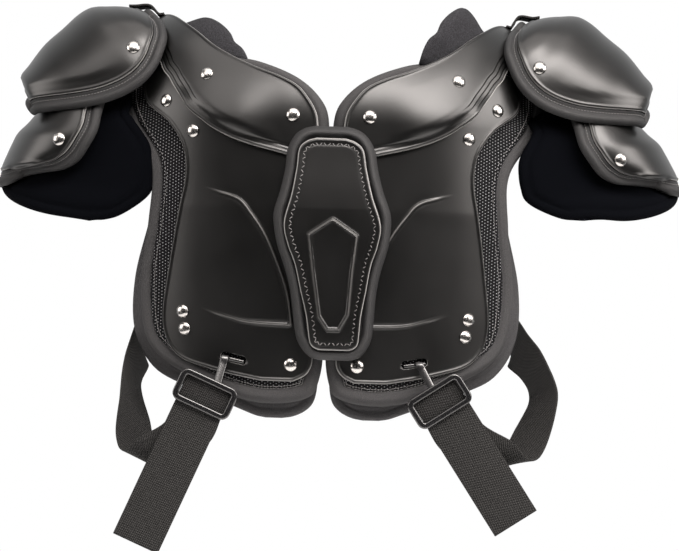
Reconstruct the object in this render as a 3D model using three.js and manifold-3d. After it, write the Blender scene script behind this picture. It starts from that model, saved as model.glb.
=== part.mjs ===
// Football shoulder pad: two padded halves worn over the shoulders, with chest and back plates,
// shoulder arches, a sternum pad, two-piece epaulets, deltoid pads and side straps.
// Millimetres, +X to the right as seen from the front, -Y towards the front, +Z up.
// The origin lies in the mid-plane at the height where the shoulders carry the pad.
import * as THREE from "three";
import { mergeVertices } from "three/addons/utils/BufferGeometryUtils.js";
import Module from "manifold-3d";

const wasm = await Module();
wasm.setup();

// Body form that all layers follow.
const halfWidth = 150;          // half the width of the chest at the ribs
const chestDepth = 118;         // from the mid-plane of the shoulders to the chest
const backDepth = 100;          // the same to the back
const shoulderReach = 103;      // radius that turns the length over the shoulder into an angle
const shoulderRise = 94;        // height of the shoulder line above the chest line
const chestLine = -42;          // height where the shoulder bend runs out into the flat chest
const frontDrop = 222;          // length of the front below the chest line
const backDrop = 205;           // length of the back below the chest line
const sideFall = 0.38;          // share of the depth that is lost at the half width
const waistStart = -110;        // below this height the front leans in
const waistLean = 0.06;
const shoulderSlopeFrom = 105;  // where the shoulder starts to fall towards the arm
const shoulderSlopeRun = 75;

// Layers, measured outwards from the outer face of the body pad.
const padThick = 12;
const linerThick = 7;
const plateThick = 2.4;
const archThick = 2.8;
const layerGap = 1.0;           // clearance between two curved layers
const shoulderSteps = 8;         // sections from the shoulder line to the chest line
const seat = 0.35;              // clearance between a piece and its flat seat

// Small parts.
const rivetRadius = 5.2;
const rivetHeight = 2.6;
const capThick = 3;
const rimWidth = 10;
const rimThick = 5;
const rimGap = 0.8;             // between the edge of a shell and the band around it
const flapThick = 2.6;
const deltoidThick = 10;
const neckPadThick = 7;
const sternumPadThick = 11;
const sternumShellThick = 3;
const sternumRoof = 5;
const hookLength = 49;
const hookWidth = 27;
const hookBar = 4.5;
const hookThick = 3.6;
const slotLength = 21;
const slotWidth = 6.5;
const webWidth = 38;
const webThick = 1.9;
const stemWidth = 7;            // stem of the hook
const crossbarRest = 1.2;       // the crossbar rests on the lower side of the slot
const rivetSink = 0.7;          // the caps' facets lie this far inside their smooth form near the edge
const bridgeHeight = 22;

// Epaulet and deltoid reach, from the inner corner of the cap.
const capInner = 135;           // distance of the inner corner from the mid-plane
const capReach = 124;           // from there to the outermost point of the cap
const capTop = 56;              // height of the cap
const capFall = 84;             // from there to its lower edge
const capDepth = 88;            // half the depth of the cap from front to back
const flapFall = 64;            // height of the lower flap
const deltoidFall = 100;        // height of the deltoid pad

// How the two sides hang: both are made from the same tables.
const sides = {
  left: {
    sign: -1, lift: 0, sink: 1.2, slope: 22, neckLift: 3, grow: 1, hem: 0.97,
    hookTurn: -23.2, slotTurn: -11, hookX: 93, freeEnd: 119, stemFoot: 5.5, stemTip: -6,
    capRivet: [0.37, -0.88], flapRivet: [0.465, -0.86],
  },
  right: {
    sign: 1, lift: 7, sink: 5.1, slope: 25, neckLift: 19, grow: 1.07, hem: 0.87,
    hookTurn: 33.8, slotTurn: 8, hookX: 92.3, freeEnd: 102.5, stemFoot: 0, stemTip: 2.8,
    capRivet: [0.395, -0.9], flapRivet: [0.53, -0.88],
  },
};
const pivotX = 128;
const pivotZ = 45;

const plateOut = layerGap + plateThick;
const archIn = plateOut + layerGap;
const archOut = archIn + archThick;
const quarter = shoulderReach * Math.PI / 2;
const v3 = (x, y, z) => new THREE.Vector3(x, y, z);
const rad = (deg) => deg * Math.PI / 180;
const mix = (a, b, t) => a + (b - a) * t;

function smooth(t) {
  const c = Math.min(1, Math.max(0, t));
  return c * c * (3 - 2 * c);
}

// One value of a table at row position t, drawn through the rows as a smooth curve.
function column(rows, k, t) {
  const n = rows.length - 1;
  const i = Math.min(n - 1, Math.max(0, Math.floor(t)));
  const f = t - i;
  const p1 = rows[i][k];
  const p2 = rows[i + 1][k];
  const p0 = i > 0 ? rows[i - 1][k] : 2 * p1 - p2;
  const p3 = i < n - 1 ? rows[i + 2][k] : 2 * p2 - p1;
  const m1 = (p2 - p0) / 2;
  const m2 = (p3 - p1) / 2;
  const f2 = f * f;
  const f3 = f2 * f;
  return (2 * f3 - 3 * f2 + 1) * p1 + (f3 - 2 * f2 + f) * m1 + (3 * f2 - 2 * f3) * p2 + (f3 - f2) * m2;
}

// Length over the shoulder for a station: 0 is the shoulder line, 1 the chest line, 2 the lower edge,
// and negative stations run down the back.
function along(a) {
  const m = Math.abs(a);
  const drop = a >= 0 ? frontDrop : backDrop;
  const s = m <= 1 ? m * quarter : quarter + (m - 1) * drop;
  return a >= 0 ? s : -s;
}

function bodyBase(x, s, slope) {
  const front = s >= 0;
  const m = Math.abs(s);
  const depth = (front ? chestDepth : backDepth) * (1 - sideFall * Math.pow(Math.abs(x) / halfWidth, 3));
  const angle = Math.min(m / shoulderReach, Math.PI / 2);
  const fall = slope * smooth((Math.abs(x) - shoulderSlopeFrom) / shoulderSlopeRun) * Math.cos(angle);
  const z = chestLine + shoulderRise * Math.cos(angle) - fall - Math.max(0, m - quarter);
  const y = depth * Math.sin(angle) - waistLean * Math.max(0, waistStart - z);
  return v3(x, front ? -y : y, z);
}

// Point at distance d outside the body form.
function body(x, s, d, slope) {
  const e = 0.5;
  const p = bodyBase(x, s, slope);
  const across = bodyBase(x + e, s, slope).sub(bodyBase(x - e, s, slope));
  const down = bodyBase(x, s + e, slope).sub(bodyBase(x, s - e, slope));
  const n = down.cross(across).normalize();
  return { p: p.addScaledVector(n, d), n };
}

// Closed solid between two grids of points. The grids may close on themselves along their first index.
function gridSolid(outer, inner, closed = false) {
  const rows = outer.length;
  const cols = outer[0].length;
  const points = [...outer.flat(), ...inner.flat()];
  const at = (i, j) => (i % rows) * cols + j;
  const under = rows * cols;
  const tri = [];
  const quad = (a, b, c, d) => {
    if (points[a].distanceTo(points[c]) <= points[b].distanceTo(points[d])) tri.push([a, b, c], [a, c, d]);
    else tri.push([a, b, d], [b, c, d]);
  };
  const last = closed ? rows : rows - 1;
  for (let i = 0; i < last; i++) {
    for (let j = 0; j < cols - 1; j++) {
      quad(at(i, j), at(i + 1, j), at(i + 1, j + 1), at(i, j + 1));
      quad(under + at(i, j), under + at(i, j + 1), under + at(i + 1, j + 1), under + at(i + 1, j));
    }
    quad(at(i + 1, 0), at(i, 0), under + at(i, 0), under + at(i + 1, 0));
    quad(at(i, cols - 1), at(i + 1, cols - 1), under + at(i + 1, cols - 1), under + at(i, cols - 1));
  }
  if (!closed) {
    for (let j = 0; j < cols - 1; j++) {
      quad(at(0, j), at(0, j + 1), under + at(0, j + 1), under + at(0, j));
      quad(at(last, j + 1), at(last, j), under + at(last, j), under + at(last, j + 1));
    }
  }
  let volume = 0;
  for (const [a, b, c] of tri) volume += points[a].dot(points[b].clone().cross(points[c]));
  const index = volume > 0 ? tri.flat() : tri.map(([a, b, c]) => [a, c, b]).flat();
  const geometry = new THREE.BufferGeometry();
  const coords = points.flatMap((p) => [p.x, p.y, p.z]);
  geometry.setAttribute("position", new THREE.Float32BufferAttribute(coords, 3));
  geometry.setIndex(index);
  return geometry;
}

// Boolean work on closed geometries.
function toManifold(geometry) {
  const bare = geometry.clone();
  bare.deleteAttribute("normal");
  bare.deleteAttribute("uv");
  const merged = mergeVertices(bare, 1e-4);
  return new wasm.Manifold(new wasm.Mesh({
    numProp: 3,
    vertProperties: new Float32Array(merged.attributes.position.array),
    triVerts: new Uint32Array(merged.index.array),
  }));
}

function fromManifold(solid) {
  const mesh = solid.getMesh();
  const geometry = new THREE.BufferGeometry();
  geometry.setAttribute("position", new THREE.Float32BufferAttribute(mesh.vertProperties, 3));
  geometry.setIndex(Array.from(mesh.triVerts));
  return geometry;
}

const cut = (a, b) => fromManifold(toManifold(a).subtract(toManifold(b)));
const join = (a, b) => fromManifold(toManifold(a).add(toManifold(b)));

// Tables. A row is one section: its station, then the inner and the outer edge as shares of halfWidth.
const archRows = [
  [0, 0.94, 1.187], [0.17, 0.883, 1.167], [0.38, 0.79, 1.1], [0.544, 0.667, 0.96], [0.637, 0.553, 0.913],
  [0.711, 0.413, 0.887], [0.766, 0.273, 0.853], [0.816, 0.18, 0.827], [0.878, 0.123, 0.787],
  [0.946, 0.081, 0.74], [1.01, 0.067, 0.653], [1.055, 0.063, 0.54], [1.086, 0.063, 0.413],
  [1.114, 0.067, 0.247], [1.127, 0.08, 0.18],
];
const plateRows = [
  [0.643, 0.747, 0.973], [0.742, 0.467, 1.0], [0.828, 0.267, 1.0], [0.902, 0.147, 0.973],
  [0.977, 0.093, 0.893], [1.037, 0.073, 0.823], [1.095, 0.06, 0.777], [1.163, 0.06, 0.759],
  [1.226, 0.06, 0.763], [1.298, 0.06, 0.783], [1.397, 0.06, 0.807], [1.559, 0.06, 0.84],
  [1.677, 0.06, 0.86], [1.758, 0.06, 0.85], [1.821, 0.06, 0.807], [1.861, 0.063, 0.733],
  [1.888, 0.08, 0.6], [1.906, 0.107, 0.48], [1.924, 0.16, 0.333],
];
const backPlateRows = [
  [-1.87, 0.16, 0.4], [-1.82, 0.08, 0.667], [-1.7, 0.06, 0.813], [-1.48, 0.06, 0.827],
  [-1.23, 0.06, 0.813], [-1.037, 0.073, 0.88], [-0.902, 0.147, 0.973], [-0.773, 0.4, 1.0],
  [-0.643, 0.747, 0.973],
];
const padFront = [
  [0, 0.965, 1.1], [0.25, 0.88, 1.12], [0.46, 0.765, 1.14], [0.58, 0.62, 1.147], [0.637, 0.387, 1.153],
  [0.742, 0.173, 1.153], [0.884, 0.043, 1.147], [1.023, 0.009, 1.095], [1.168, 0.009, 0.947],
  [1.348, 0.009, 0.96], [1.559, 0.009, 1.01], [1.762, 0.009, 0.987], [1.861, 0.009, 0.887],
  [1.942, 0.047, 0.64], [2.0, 0.253, 0.333],
];
const padBack = [
  [-1.92, 0.2, 0.4], [-1.86, 0.05, 0.7], [-1.75, 0.009, 0.9], [-1.5, 0.009, 1.0], [-1.22, 0.009, 0.987],
  [-1.023, 0.009, 1.1], [-0.884, 0.043, 1.147], [-0.742, 0.173, 1.153], [-0.637, 0.387, 1.153],
  [-0.58, 0.62, 1.147], [-0.46, 0.765, 1.14], [-0.25, 0.88, 1.12],
];
const padRows = [...padBack, ...padFront];
const linerRows = [
  [-1.9, 0.1, 0.6], [-1.7, 0.03, 0.95], [-1.3, 0.03, 0.98], [-1.0, 0.04, 1.0], [-0.72, 0.3, 1.02],
  [-0.4, 0.84, 1.03], [0, 0.985, 1.04], [0.4, 0.84, 1.03], [0.72, 0.3, 1.02], [1.0, 0.04, 1.0],
  [1.17, 0.03, 0.987], [1.343, 0.03, 1.033], [1.568, 0.03, 1.117], [1.762, 0.03, 1.113],
  [1.898, 0.03, 0.993], [1.975, 0.05, 0.7], [2.03, 0.12, 0.42],
];
const neckPadRows = [
  [0.27, 0.7, 0.8], [0.3, 0.655, 0.815], [0.37, 0.6, 0.785], [0.45, 0.555, 0.73], [0.52, 0.53, 0.63],
  [0.565, 0.505, 0.545],
];

// Row position at which a table reaches a station.
function rowAt(rows, station) {
  let low = 0;
  let high = rows.length - 1;
  for (let k = 0; k < 40; k++) {
    const mid = (low + high) / 2;
    if (column(rows, 0, mid) < station) low = mid;
    else high = mid;
  }
  return (low + high) / 2;
}

// Sections of a layer. Over the shoulder all layers share the same stations, so their facets lie parallel.
function stationsOf(rows) {
  const from = rows[0][0];
  const to = rows[rows.length - 1][0];
  const list = rows.map((r) => r[0]).filter((a) => Math.abs(a) >= 1 || a === from || a === to);
  for (let k = -shoulderSteps; k <= shoulderSteps; k++) {
    const a = k / shoulderSteps;
    if (a > from + 0.05 && a < to - 0.05 && list.every((b) => Math.abs(a - b) > 0.03)) list.push(a);
  }
  return list.sort((p, q) => p - q);
}

// A layer that follows the body between two edges, with its long edges rounded by the given amount.
function layer(rows, side, outD, inD, cols, soft = 0, relief = null) {
  const outer = [];
  const inner = [];
  const stations = stationsOf(rows);
  stations.forEach((a, i) => {
    const t = rowAt(rows, a);
    const s = along(a);
    const xi = column(rows, 1, t) * halfWidth;
    const xo = column(rows, 2, t) * halfWidth;
    const upper = [];
    const lower = [];
    const end = i === 0 || i === stations.length - 1 ? soft : 0;
    for (let j = 0; j <= cols; j++) {
      const x = side.sign * mix(xi, xo, j / cols);
      const pull = Math.max(end, j === 0 || j === cols ? soft : 0);
      const extra = relief ? relief(Math.abs(x), s) : 0;
      upper.push(body(x, s, outD - pull + extra, side.slope).p);
      lower.push(body(x, s, inD + pull, side.slope).p);
    }
    outer.push(upper);
    inner.push(lower);
  });
  return gridSolid(outer, inner);
}

// Raised fields of the chest plate: a broad crest from the arm side to the waist and a low one below it.
function plateRelief(x, s) {
  const z = (s - quarter) / frontDrop;
  const crest = Math.exp(-Math.pow((x / halfWidth - mix(0.62, 0.17, smooth((z - 0.2) / 0.55))) / 0.13, 2));
  return 2.2 * crest * smooth((z - 0.12) / 0.15) * smooth((0.82 - z) / 0.15);
}

// Epaulet tables. A row holds the ridge point (out, down) and the edge point (out, down, forward)
// as shares of capReach, of the fall and of capDepth.
const capRows = [
  [0.237, 0.019, 0.161, 0.083, 0.4], [0.305, 0.002, 0.109, 0.171, 0.66], [0.372, -0.004, 0.086, 0.292, 0.84],
  [0.446, -0.001, 0.104, 0.427, 0.93], [0.506, 0.002, 0.136, 0.561, 0.97], [0.566, 0.025, 0.196, 0.683, 1.0],
  [0.639, 0.098, 0.29, 0.785, 1.0], [0.73, 0.231, 0.43, 0.869, 0.98], [0.847, 0.395, 0.599, 0.921, 0.93],
  [0.944, 0.598, 0.761, 0.952, 0.84], [0.997, 0.72, 0.86, 0.972, 0.74], [0.957, 0.86, 0.9, 0.99, 0.63],
];
const flapRows = [
  [0.8, 0.0, 0.484, 0.0, 0.82], [0.87, 0.17, 0.504, 0.19, 0.9], [0.94, 0.34, 0.519, 0.385, 0.955],
  [1.01, 0.48, 0.561, 0.56, 0.975], [1.048, 0.625, 0.619, 0.74, 0.95], [1.08, 0.77, 0.706, 0.865, 0.88],
  [1.104, 0.89, 0.817, 0.92, 0.79], [1.118, 0.975, 0.96, 0.965, 0.56],
];
const deltoidRows = [
  [0.73, 0.0, 0.306, 0.06, 0.82], [0.79, 0.17, 0.27, 0.14, 0.87], [0.855, 0.33, 0.185, 0.26, 0.91],
  [0.925, 0.44, 0.121, 0.37, 0.93], [0.975, 0.53, 0.092, 0.5, 0.94], [1.015, 0.59, 0.085, 0.62, 0.94],
  [1.045, 0.635, 0.097, 0.74, 0.94], [1.095, 0.665, 0.17, 0.86, 0.945], [1.114, 0.68, 0.266, 0.955, 0.935],
  [1.125, 0.69, 0.379, 1.0, 0.9],
];

// A point of a dome that runs from its front edge (v = -1) over the ridge to its back edge (v = 1).
function domePoint(form, u, v) {
  const t = u * (form.rows.length - 1);
  const c = [0, 1, 2, 3, 4].map((k) => column(form.rows, k, t));
  const angle = Math.abs(v) * Math.PI / 2;
  const swing = 1 - Math.cos(angle);
  const x = capInner + capReach * mix(c[0], c[2], swing);
  const z = form.top - form.fall * mix(c[1], c[3] * form.hem, swing) - form.bow * smooth((u - 0.5) / 0.5) * Math.sin(2 * angle);
  const y = Math.sign(v) * capDepth * c[4] * Math.sin(angle);
  return v3(x, y, z);
}

function domeNormal(form, u, v) {
  const e = 1e-3;
  const du = domePoint(form, Math.min(1, u + e), v).sub(domePoint(form, Math.max(0, u - e), v));
  const dv = domePoint(form, u, Math.min(1, v + e)).sub(domePoint(form, u, Math.max(-1, v - e)));
  return dv.cross(du).normalize().negate();
}

// Puts a point of the right-hand epaulet into place on its side.
function place(p, side) {
  const a = rad(side.lift);
  const dx = p.x - pivotX;
  const dz = p.z - pivotZ;
  const x = pivotX + dx * Math.cos(a) - dz * Math.sin(a);
  const z = pivotZ + dz * Math.cos(a) + dx * Math.sin(a) - side.sink;
  return v3(side.sign * x, p.y, z);
}

function dome(form, side, nu, nv, soft = 0) {
  const outer = [];
  const inner = [];
  for (let i = 0; i <= nu; i++) {
    const upper = [];
    const lower = [];
    for (let j = 0; j <= nv; j++) {
      const u = i / nu;
      const v = 2 * j / nv - 1;
      const p = domePoint(form, u, v);
      const n = domeNormal(form, u, v);
      const pull = i === 0 || i === nu || j === 0 || j === nv ? soft : 0;
      upper.push(place(p.clone().addScaledVector(n, -pull), side));
      lower.push(place(p.clone().addScaledVector(n, pull - form.thick), side));
    }
    outer.push(upper);
    inner.push(lower);
  }
  return gridSolid(outer, inner);
}

// Band outside the edge of a dome: u and v run along the edge, and the band lies in the dome's surface.
function rim(form, side, path, closed, width, thick) {
  const on = path.map(([u, v]) => ({ p: domePoint(form, u, v), n: domeNormal(form, u, v) }));
  const count = on.length;
  const near = (i) => (closed ? (i + count) % count : Math.min(count - 1, Math.max(0, i)));
  let outs = on.map(({ n }, i) => on[near(i + 1)].p.clone().sub(on[near(i - 1)].p).cross(n).normalize());
  if (outs[3].dot(on[3].p.clone().sub(domePoint(form, 0.5, 0))) < 0) outs.forEach((o) => o.negate());
  for (let pass = 0; pass < 2; pass++) {
    outs = outs.map((o, i) => o.clone().add(outs[near(i - 1)]).add(outs[near(i + 1)]).normalize());
  }
  const outer = [];
  const inner = [];
  on.forEach(({ p, n }, i) => {
    const out = outs[i];
    const start = p.clone().addScaledVector(n, -form.thick / 2).addScaledVector(out, rimGap);
    const mid = start.clone().addScaledVector(out, width * 0.5);
    const stop = start.clone().addScaledVector(out, width);
    outer.push([
      place(start.clone().addScaledVector(n, thick / 2), side),
      place(mid.clone().addScaledVector(n, thick / 2), side),
      place(stop.clone().addScaledVector(n, thick * 0.28), side),
    ]);
    inner.push([
      place(start.clone().addScaledVector(n, -thick / 2), side),
      place(mid.clone().addScaledVector(n, -thick / 2), side),
      place(stop.clone().addScaledVector(n, -thick * 0.28), side),
    ]);
  });
  return gridSolid(outer, inner, closed);
}

// The three domes of a side: each hangs from the one above it.
function formsOf(side) {
  const fall = capFall * side.grow;
  return {
    cap: { rows: capRows, top: capTop, fall, bow: 0, hem: 1, thick: capThick },
    flap: { rows: flapRows, top: capTop - 0.915 * fall, fall: flapFall, bow: 0, hem: 1, thick: flapThick },
    deltoid: {
      rows: deltoidRows, top: capTop - 0.964 * fall, fall: deltoidFall, bow: 9, hem: side.hem, thick: deltoidThick,
    },
  };
}

const capSteps = 11;
const flapSteps = 7;
const acrossSteps = 10;

// Stations along the edge of a dome, the same ones that its own grid has there.
function edgePath(steps, closed) {
  const path = [];
  const side = (k) => -1 + 2 * k / acrossSteps;
  for (let i = closed ? 0 : 1; i <= steps; i++) path.push([i / steps, -1]);
  for (let k = 1; k < acrossSteps; k++) path.push([1, side(k)]);
  for (let i = steps; i >= (closed ? 0 : 1); i--) path.push([i / steps, 1]);
  for (let k = acrossSteps - 1; closed && k > 0; k--) path.push([0, side(k)]);
  return path;
}

// Rivet: a domed head that sits on a plate, with its axis along the plate's normal.
function rivetGeometry() {
  const profile = [
    new THREE.Vector2(0, 0),
    new THREE.Vector2(rivetRadius, 0),
    new THREE.Vector2(rivetRadius * 0.93, rivetHeight * 0.45),
    new THREE.Vector2(rivetRadius * 0.55, rivetHeight * 0.88),
    new THREE.Vector2(0, rivetHeight),
  ];
  return new THREE.LatheGeometry(profile, 8);
}

// Rivets as shares: station and distance from the mid-plane; the layer says what they sit on.
const rivetRows = [
  ["arch_rivet", 0.764, 0.653, archOut], ["collar_rivet", 0.967, 0.2, archOut],
  ["strap_rivet_upper", 0.89, 0.873, plateOut], ["strap_rivet_lower", 1.039, 0.723, plateOut],
  ["side_rivet_upper", 1.686, 0.75, plateOut], ["side_rivet_lower", 1.748, 0.737, plateOut],
  ["waist_rivet", 1.864, 0.175, plateOut],
];

// Sternum pad: a row holds the height share and the half width share of the pad and of the shell.
const sternumTop = -45;
const sternumHeight = 187;
const sternumHalf = 46;
const sternumLean = 0.043;      // the pad hangs a little to the right at its lower end
const sternumRows = [
  [0, 0.33], [0.04, 0.6], [0.1, 0.74], [0.187, 0.8], [0.278, 0.89], [0.364, 1.0], [0.43, 1.0], [0.51, 0.945],
  [0.599, 0.83], [0.695, 0.74], [0.8, 0.695], [0.888, 0.65], [0.941, 0.53], [0.985, 0.3],
];
const shellRows = [
  [0.055, 0.36], [0.1, 0.55], [0.18, 0.6], [0.29, 0.69], [0.41, 0.826], [0.5, 0.77], [0.583, 0.652],
  [0.695, 0.56], [0.8, 0.47], [0.905, 0.41], [0.94, 0.34],
];

function sternumFace(z) {
  return -(chestDepth + archOut + seat) + waistLean * Math.max(0, waistStart - z);
}

function roofHeight(across, h) {
  const top = smooth((h - 0.34) / 0.12);
  const bottom = smooth((0.92 - h) / 0.2);
  const half = mix(0.62, 0.3, smooth((h - 0.45) / 0.4));
  return sternumRoof * top * bottom * smooth((half - Math.abs(across)) / 0.3);
}

function sternumSolid(rows, back, thick, crown, soft, roof, steps, cols) {
  const outer = [];
  const inner = [];
  const last = rows.length - 1;
  for (let i = 0; i <= steps; i++) {
    const t = last * i / steps;
    const h = column(rows, 0, t);
    const w = column(rows, 1, t) * sternumHalf;
    const z = sternumTop - h * sternumHeight;
    const xc = sternumLean * h * sternumHeight;
    const face = sternumFace(z) - back;
    const upper = [];
    const lower = [];
    for (let j = 0; j <= cols; j++) {
      const k = 2 * j / cols - 1;
      const edge = i === 0 || i === steps || j === 0 || j === cols;
      const rise = crown * (1 - Math.pow(k * w / sternumHalf, 2)) + (roof ? roofHeight(k, h) : 0);
      upper.push(v3(xc + k * w, face - thick - rise + (edge ? soft : 0), z));
      lower.push(v3(xc + k * w, face - (roof ? rise - roofHeight(k, h) * 0 : 0), z));
    }
    outer.push(upper);
    inner.push(lower);
  }
  return gridSolid(outer, inner);
}

// Hook: a rounded frame with a stem that enters the slot of the chest plate.
function roundedRect(w, h, r, shape) {
  shape.moveTo(-w / 2 + r, -h / 2);
  shape.lineTo(w / 2 - r, -h / 2);
  shape.quadraticCurveTo(w / 2, -h / 2, w / 2, -h / 2 + r);
  shape.lineTo(w / 2, h / 2 - r);
  shape.quadraticCurveTo(w / 2, h / 2, w / 2 - r, h / 2);
  shape.lineTo(-w / 2 + r, h / 2);
  shape.quadraticCurveTo(-w / 2, h / 2, -w / 2, h / 2 - r);
  shape.lineTo(-w / 2, -h / 2 + r);
  shape.quadraticCurveTo(-w / 2, -h / 2, -w / 2 + r, -h / 2);
  return shape;
}

const slotStation = 1.848;      // where the slot lies on the chest plate
const slotShare = 0.475;
const hookZ = -259;
const hookBack = 3.2 + webThick; // room behind the hook for the strap

function slotFrame(side) {
  const x = side.sign * slotShare * halfWidth;
  return body(x, along(slotStation), plateOut, side.slope);
}

function hookPlane() {
  return -(chestDepth + plateOut + hookBack) + waistLean * (waistStart - hookZ) - 2;
}

// Axes of the hook in the plane of the front: along its bars and across them.
function hookAxes(side) {
  const a = rad(side.hookTurn);
  return {
    centre: v3(side.sign * side.hookX, hookPlane(), hookZ),
    bar: v3(Math.cos(a), 0, Math.sin(a)),
    rise: v3(-Math.sin(a), 0, Math.cos(a)),
    out: v3(0, -1, 0),
  };
}

function hookGeometry(side) {
  const shape = roundedRect(hookLength, hookWidth, 6, new THREE.Shape());
  shape.holes.push(roundedRect(hookLength - 2 * hookBar, hookWidth - 2 * hookBar, 3, new THREE.Path()));
  const frame = new THREE.ExtrudeGeometry(shape, { depth: hookThick, bevelEnabled: false, curveSegments: 2 });
  const { centre, bar, rise, out } = hookAxes(side);
  const basis = new THREE.Matrix4().makeBasis(bar, rise, bar.clone().cross(rise));
  frame.translate(0, 0, -hookThick / 2);
  frame.applyMatrix4(basis);
  frame.translate(centre.x, centre.y, centre.z);
  const slot = slotFrame(side);
  const foot = centre.clone().addScaledVector(rise, hookWidth / 2 - hookBar * 0.6);
  const tip = slot.p.clone().addScaledVector(slot.n, -plateThick * 0.8);
  const knee = slot.p.clone().addScaledVector(slot.n, hookThick * 0.9);
  const slotAcross = v3(Math.cos(rad(side.slotTurn)), 0, Math.sin(rad(side.slotTurn)));
  foot.addScaledVector(bar, side.stemFoot);
  knee.addScaledVector(slotAcross, side.stemTip);
  const rest = v3(0, 0, -crossbarRest);
  const lip = slot.p.clone().addScaledVector(slot.n, 0.7).add(rest);
  tip.add(rest);
  const narrow = stemWidth / 2;
  const wide = slotLength / 2 - 2;
  const path = [
    { p: foot, w: bar, o: out, half: narrow }, { p: foot.clone().lerp(knee, 0.7), w: bar, o: out, half: narrow },
    { p: knee, w: slotAcross, o: v3(0, -0.5, 0.86), half: narrow }, { p: lip, w: slotAcross, o: v3(0, 0, 1), half: wide },
    { p: tip, w: slotAcross, o: v3(0, 0, 1), half: wide },
  ];
  const face = (k) => path.map(({ p, w, o, half }) => [-half, half].map((m) => p.clone()
    .addScaledVector(w, m).addScaledVector(o, k * hookThick / 2)));
  const outer = face(0.9);
  const inner = face(-0.9);
  return join(frame, gridSolid(outer, inner));
}

// Strap sections: centre (out, forward, down) as shares of halfWidth, chestDepth and frontDrop below the
// chest line, then the direction across the band.
const strapTables = {
  left: [
    [0.99, -0.565, 0.72, 0, 0.1, -1], [1.045, -0.42, 0.74, 0, 0.15, -1], [1.03, -0.08, 0.79, 0.05, 0.3, -0.95],
    [1.01, 0.24, 0.838, 0.3, 0.62, -0.7], [1.03, 0.38, 0.892, 0.32, 0.8, -0.5],
    [1.04, 0.48, 0.946, 0.32, 0.9, -0.28], [1.03, 0.56, 1.018, 0.42, 0.88, -0.1],
    [1.013, 0.64, 1.086, 0.63, 0.77, -0.12], [1.0, 0.71, 1.149, 0.73, 0.66, -0.2],
    [0.973, 0.79, 1.205, 0.75, 0.58, -0.3], [0.925, 0.875, 1.225, 0.76, 0.45, -0.45],
    [0.87, 0.94, 1.195, 0.8, 0.2, -0.56],
  ],
  right: [
    [0.99, -0.565, 0.7, 0, 0.1, -1], [1.045, -0.42, 0.72, 0, 0.15, -1], [1.05, -0.08, 0.76, 0.05, 0.3, -0.95],
    [1.06, 0.22, 0.8, 0.34, 0.58, -0.74], [1.115, 0.33, 0.84, 0.36, 0.7, -0.61],
    [1.165, 0.41, 0.896, 0.38, 0.8, -0.46], [1.19, 0.49, 0.955, 0.51, 0.82, -0.27],
    [1.173, 0.58, 1.01, 0.58, 0.8, -0.12], [1.12, 0.68, 1.1, 0.66, 0.74, 0.1],
    [1.06, 0.78, 1.17, 0.7, 0.66, 0.0], [0.985, 0.87, 1.2, 0.74, 0.5, -0.3],
    [0.915, 0.94, 1.17, 0.78, 0.2, -0.6],
  ],
};

function strapGeometry(name, side) {
  const rows = strapTables[name];
  const { centre, bar, rise } = hookAxes(side);
  const stations = [];
  const steps = 2 * (rows.length - 1);
  for (let i = 0; i <= steps; i++) {
    const t = (rows.length - 1) * i / steps;
    const c = [0, 1, 2, 3, 4, 5].map((k) => column(rows, k, t));
    const p = v3(side.sign * c[0] * halfWidth, -c[1] * chestDepth, chestLine - c[2] * frontDrop);
    stations.push({ p, w: v3(-side.sign * c[3], c[4], c[5]).normalize() });
  }
  const across = bar.clone().multiplyScalar(-side.sign);
  const barLine = hookWidth / 2 - hookBar / 2;
  const reach = hookThick / 2 + 0.4 + webThick / 2;
  const low = centre.clone().addScaledVector(rise, -barLine);
  const rear = reach + webThick + 0.7;
  const at = (up, depth) => low.clone().addScaledVector(rise, up).add(v3(0, depth, 0));
  const top = hookWidth - 2 * hookBar;
  stations.push({ p: at(-22, rear), w: across }, { p: at(0, rear), w: across }, { p: at(top, rear), w: across });
  const turn = (rear - reach) / 2;
  for (let k = 1; k <= 3; k++) {
    const a = Math.PI * k / 4;
    stations.push({ p: at(top + turn * Math.sin(a), reach + turn + turn * Math.cos(a)), w: across });
  }
  stations.push({ p: at(top, reach), w: across }, { p: at(0, reach), w: across });
  for (const f of [0.1, 0.35, 0.7, 1]) {
    stations.push({ p: at(-side.freeEnd * f, reach - 7 * f * (1 - 0.4 * f)), w: across });
  }
  const outer = [];
  const inner = [];
  stations.forEach(({ p, w }, i) => {
    const next = stations[Math.min(stations.length - 1, i + 1)].p;
    const prev = stations[Math.max(0, i - 1)].p;
    const n = next.clone().sub(prev).cross(w).normalize();
    const edge = [-0.5, 0, 0.5].map((k) => p.clone().addScaledVector(w, k * webWidth));
    outer.push(edge.map((q) => q.clone().addScaledVector(n, webThick / 2)));
    inner.push(edge.map((q) => q.clone().addScaledVector(n, -webThick / 2)));
  });
  return gridSolid(outer, inner);
}

// Webbing hinge between the top of the arch and the rim of the cap.
function hingeGeometry(side) {
  const width = 32;
  const top = (x) => body(x, 0, archOut, side.slope).p.z;
  const capEdge = domePoint(formsOf(side).cap, 0, 0);
  const reachX = capEdge.x - rimWidth * 0.2;
  const capTopPoint = place(v3(reachX, 0, capEdge.z + rimThick / 2), side);
  const start = 0.945 * halfWidth;
  const path = [
    [start, top(start) + 3 * seat], [start + 4, top(start + 4) + seat + 2],
    [Math.abs(capTopPoint.x) - 9, capTopPoint.z + seat + 0.6], [Math.abs(capTopPoint.x), capTopPoint.z + seat],
  ];
  const outer = path.map(([x, z]) => [-1, 1].map((k) => v3(side.sign * x, k * width / 2, z + webThick)));
  const inner = path.map(([x, z]) => [-1, 1].map((k) => v3(side.sign * x, k * width / 2, z)));
  return gridSolid(outer, inner);
}

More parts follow.
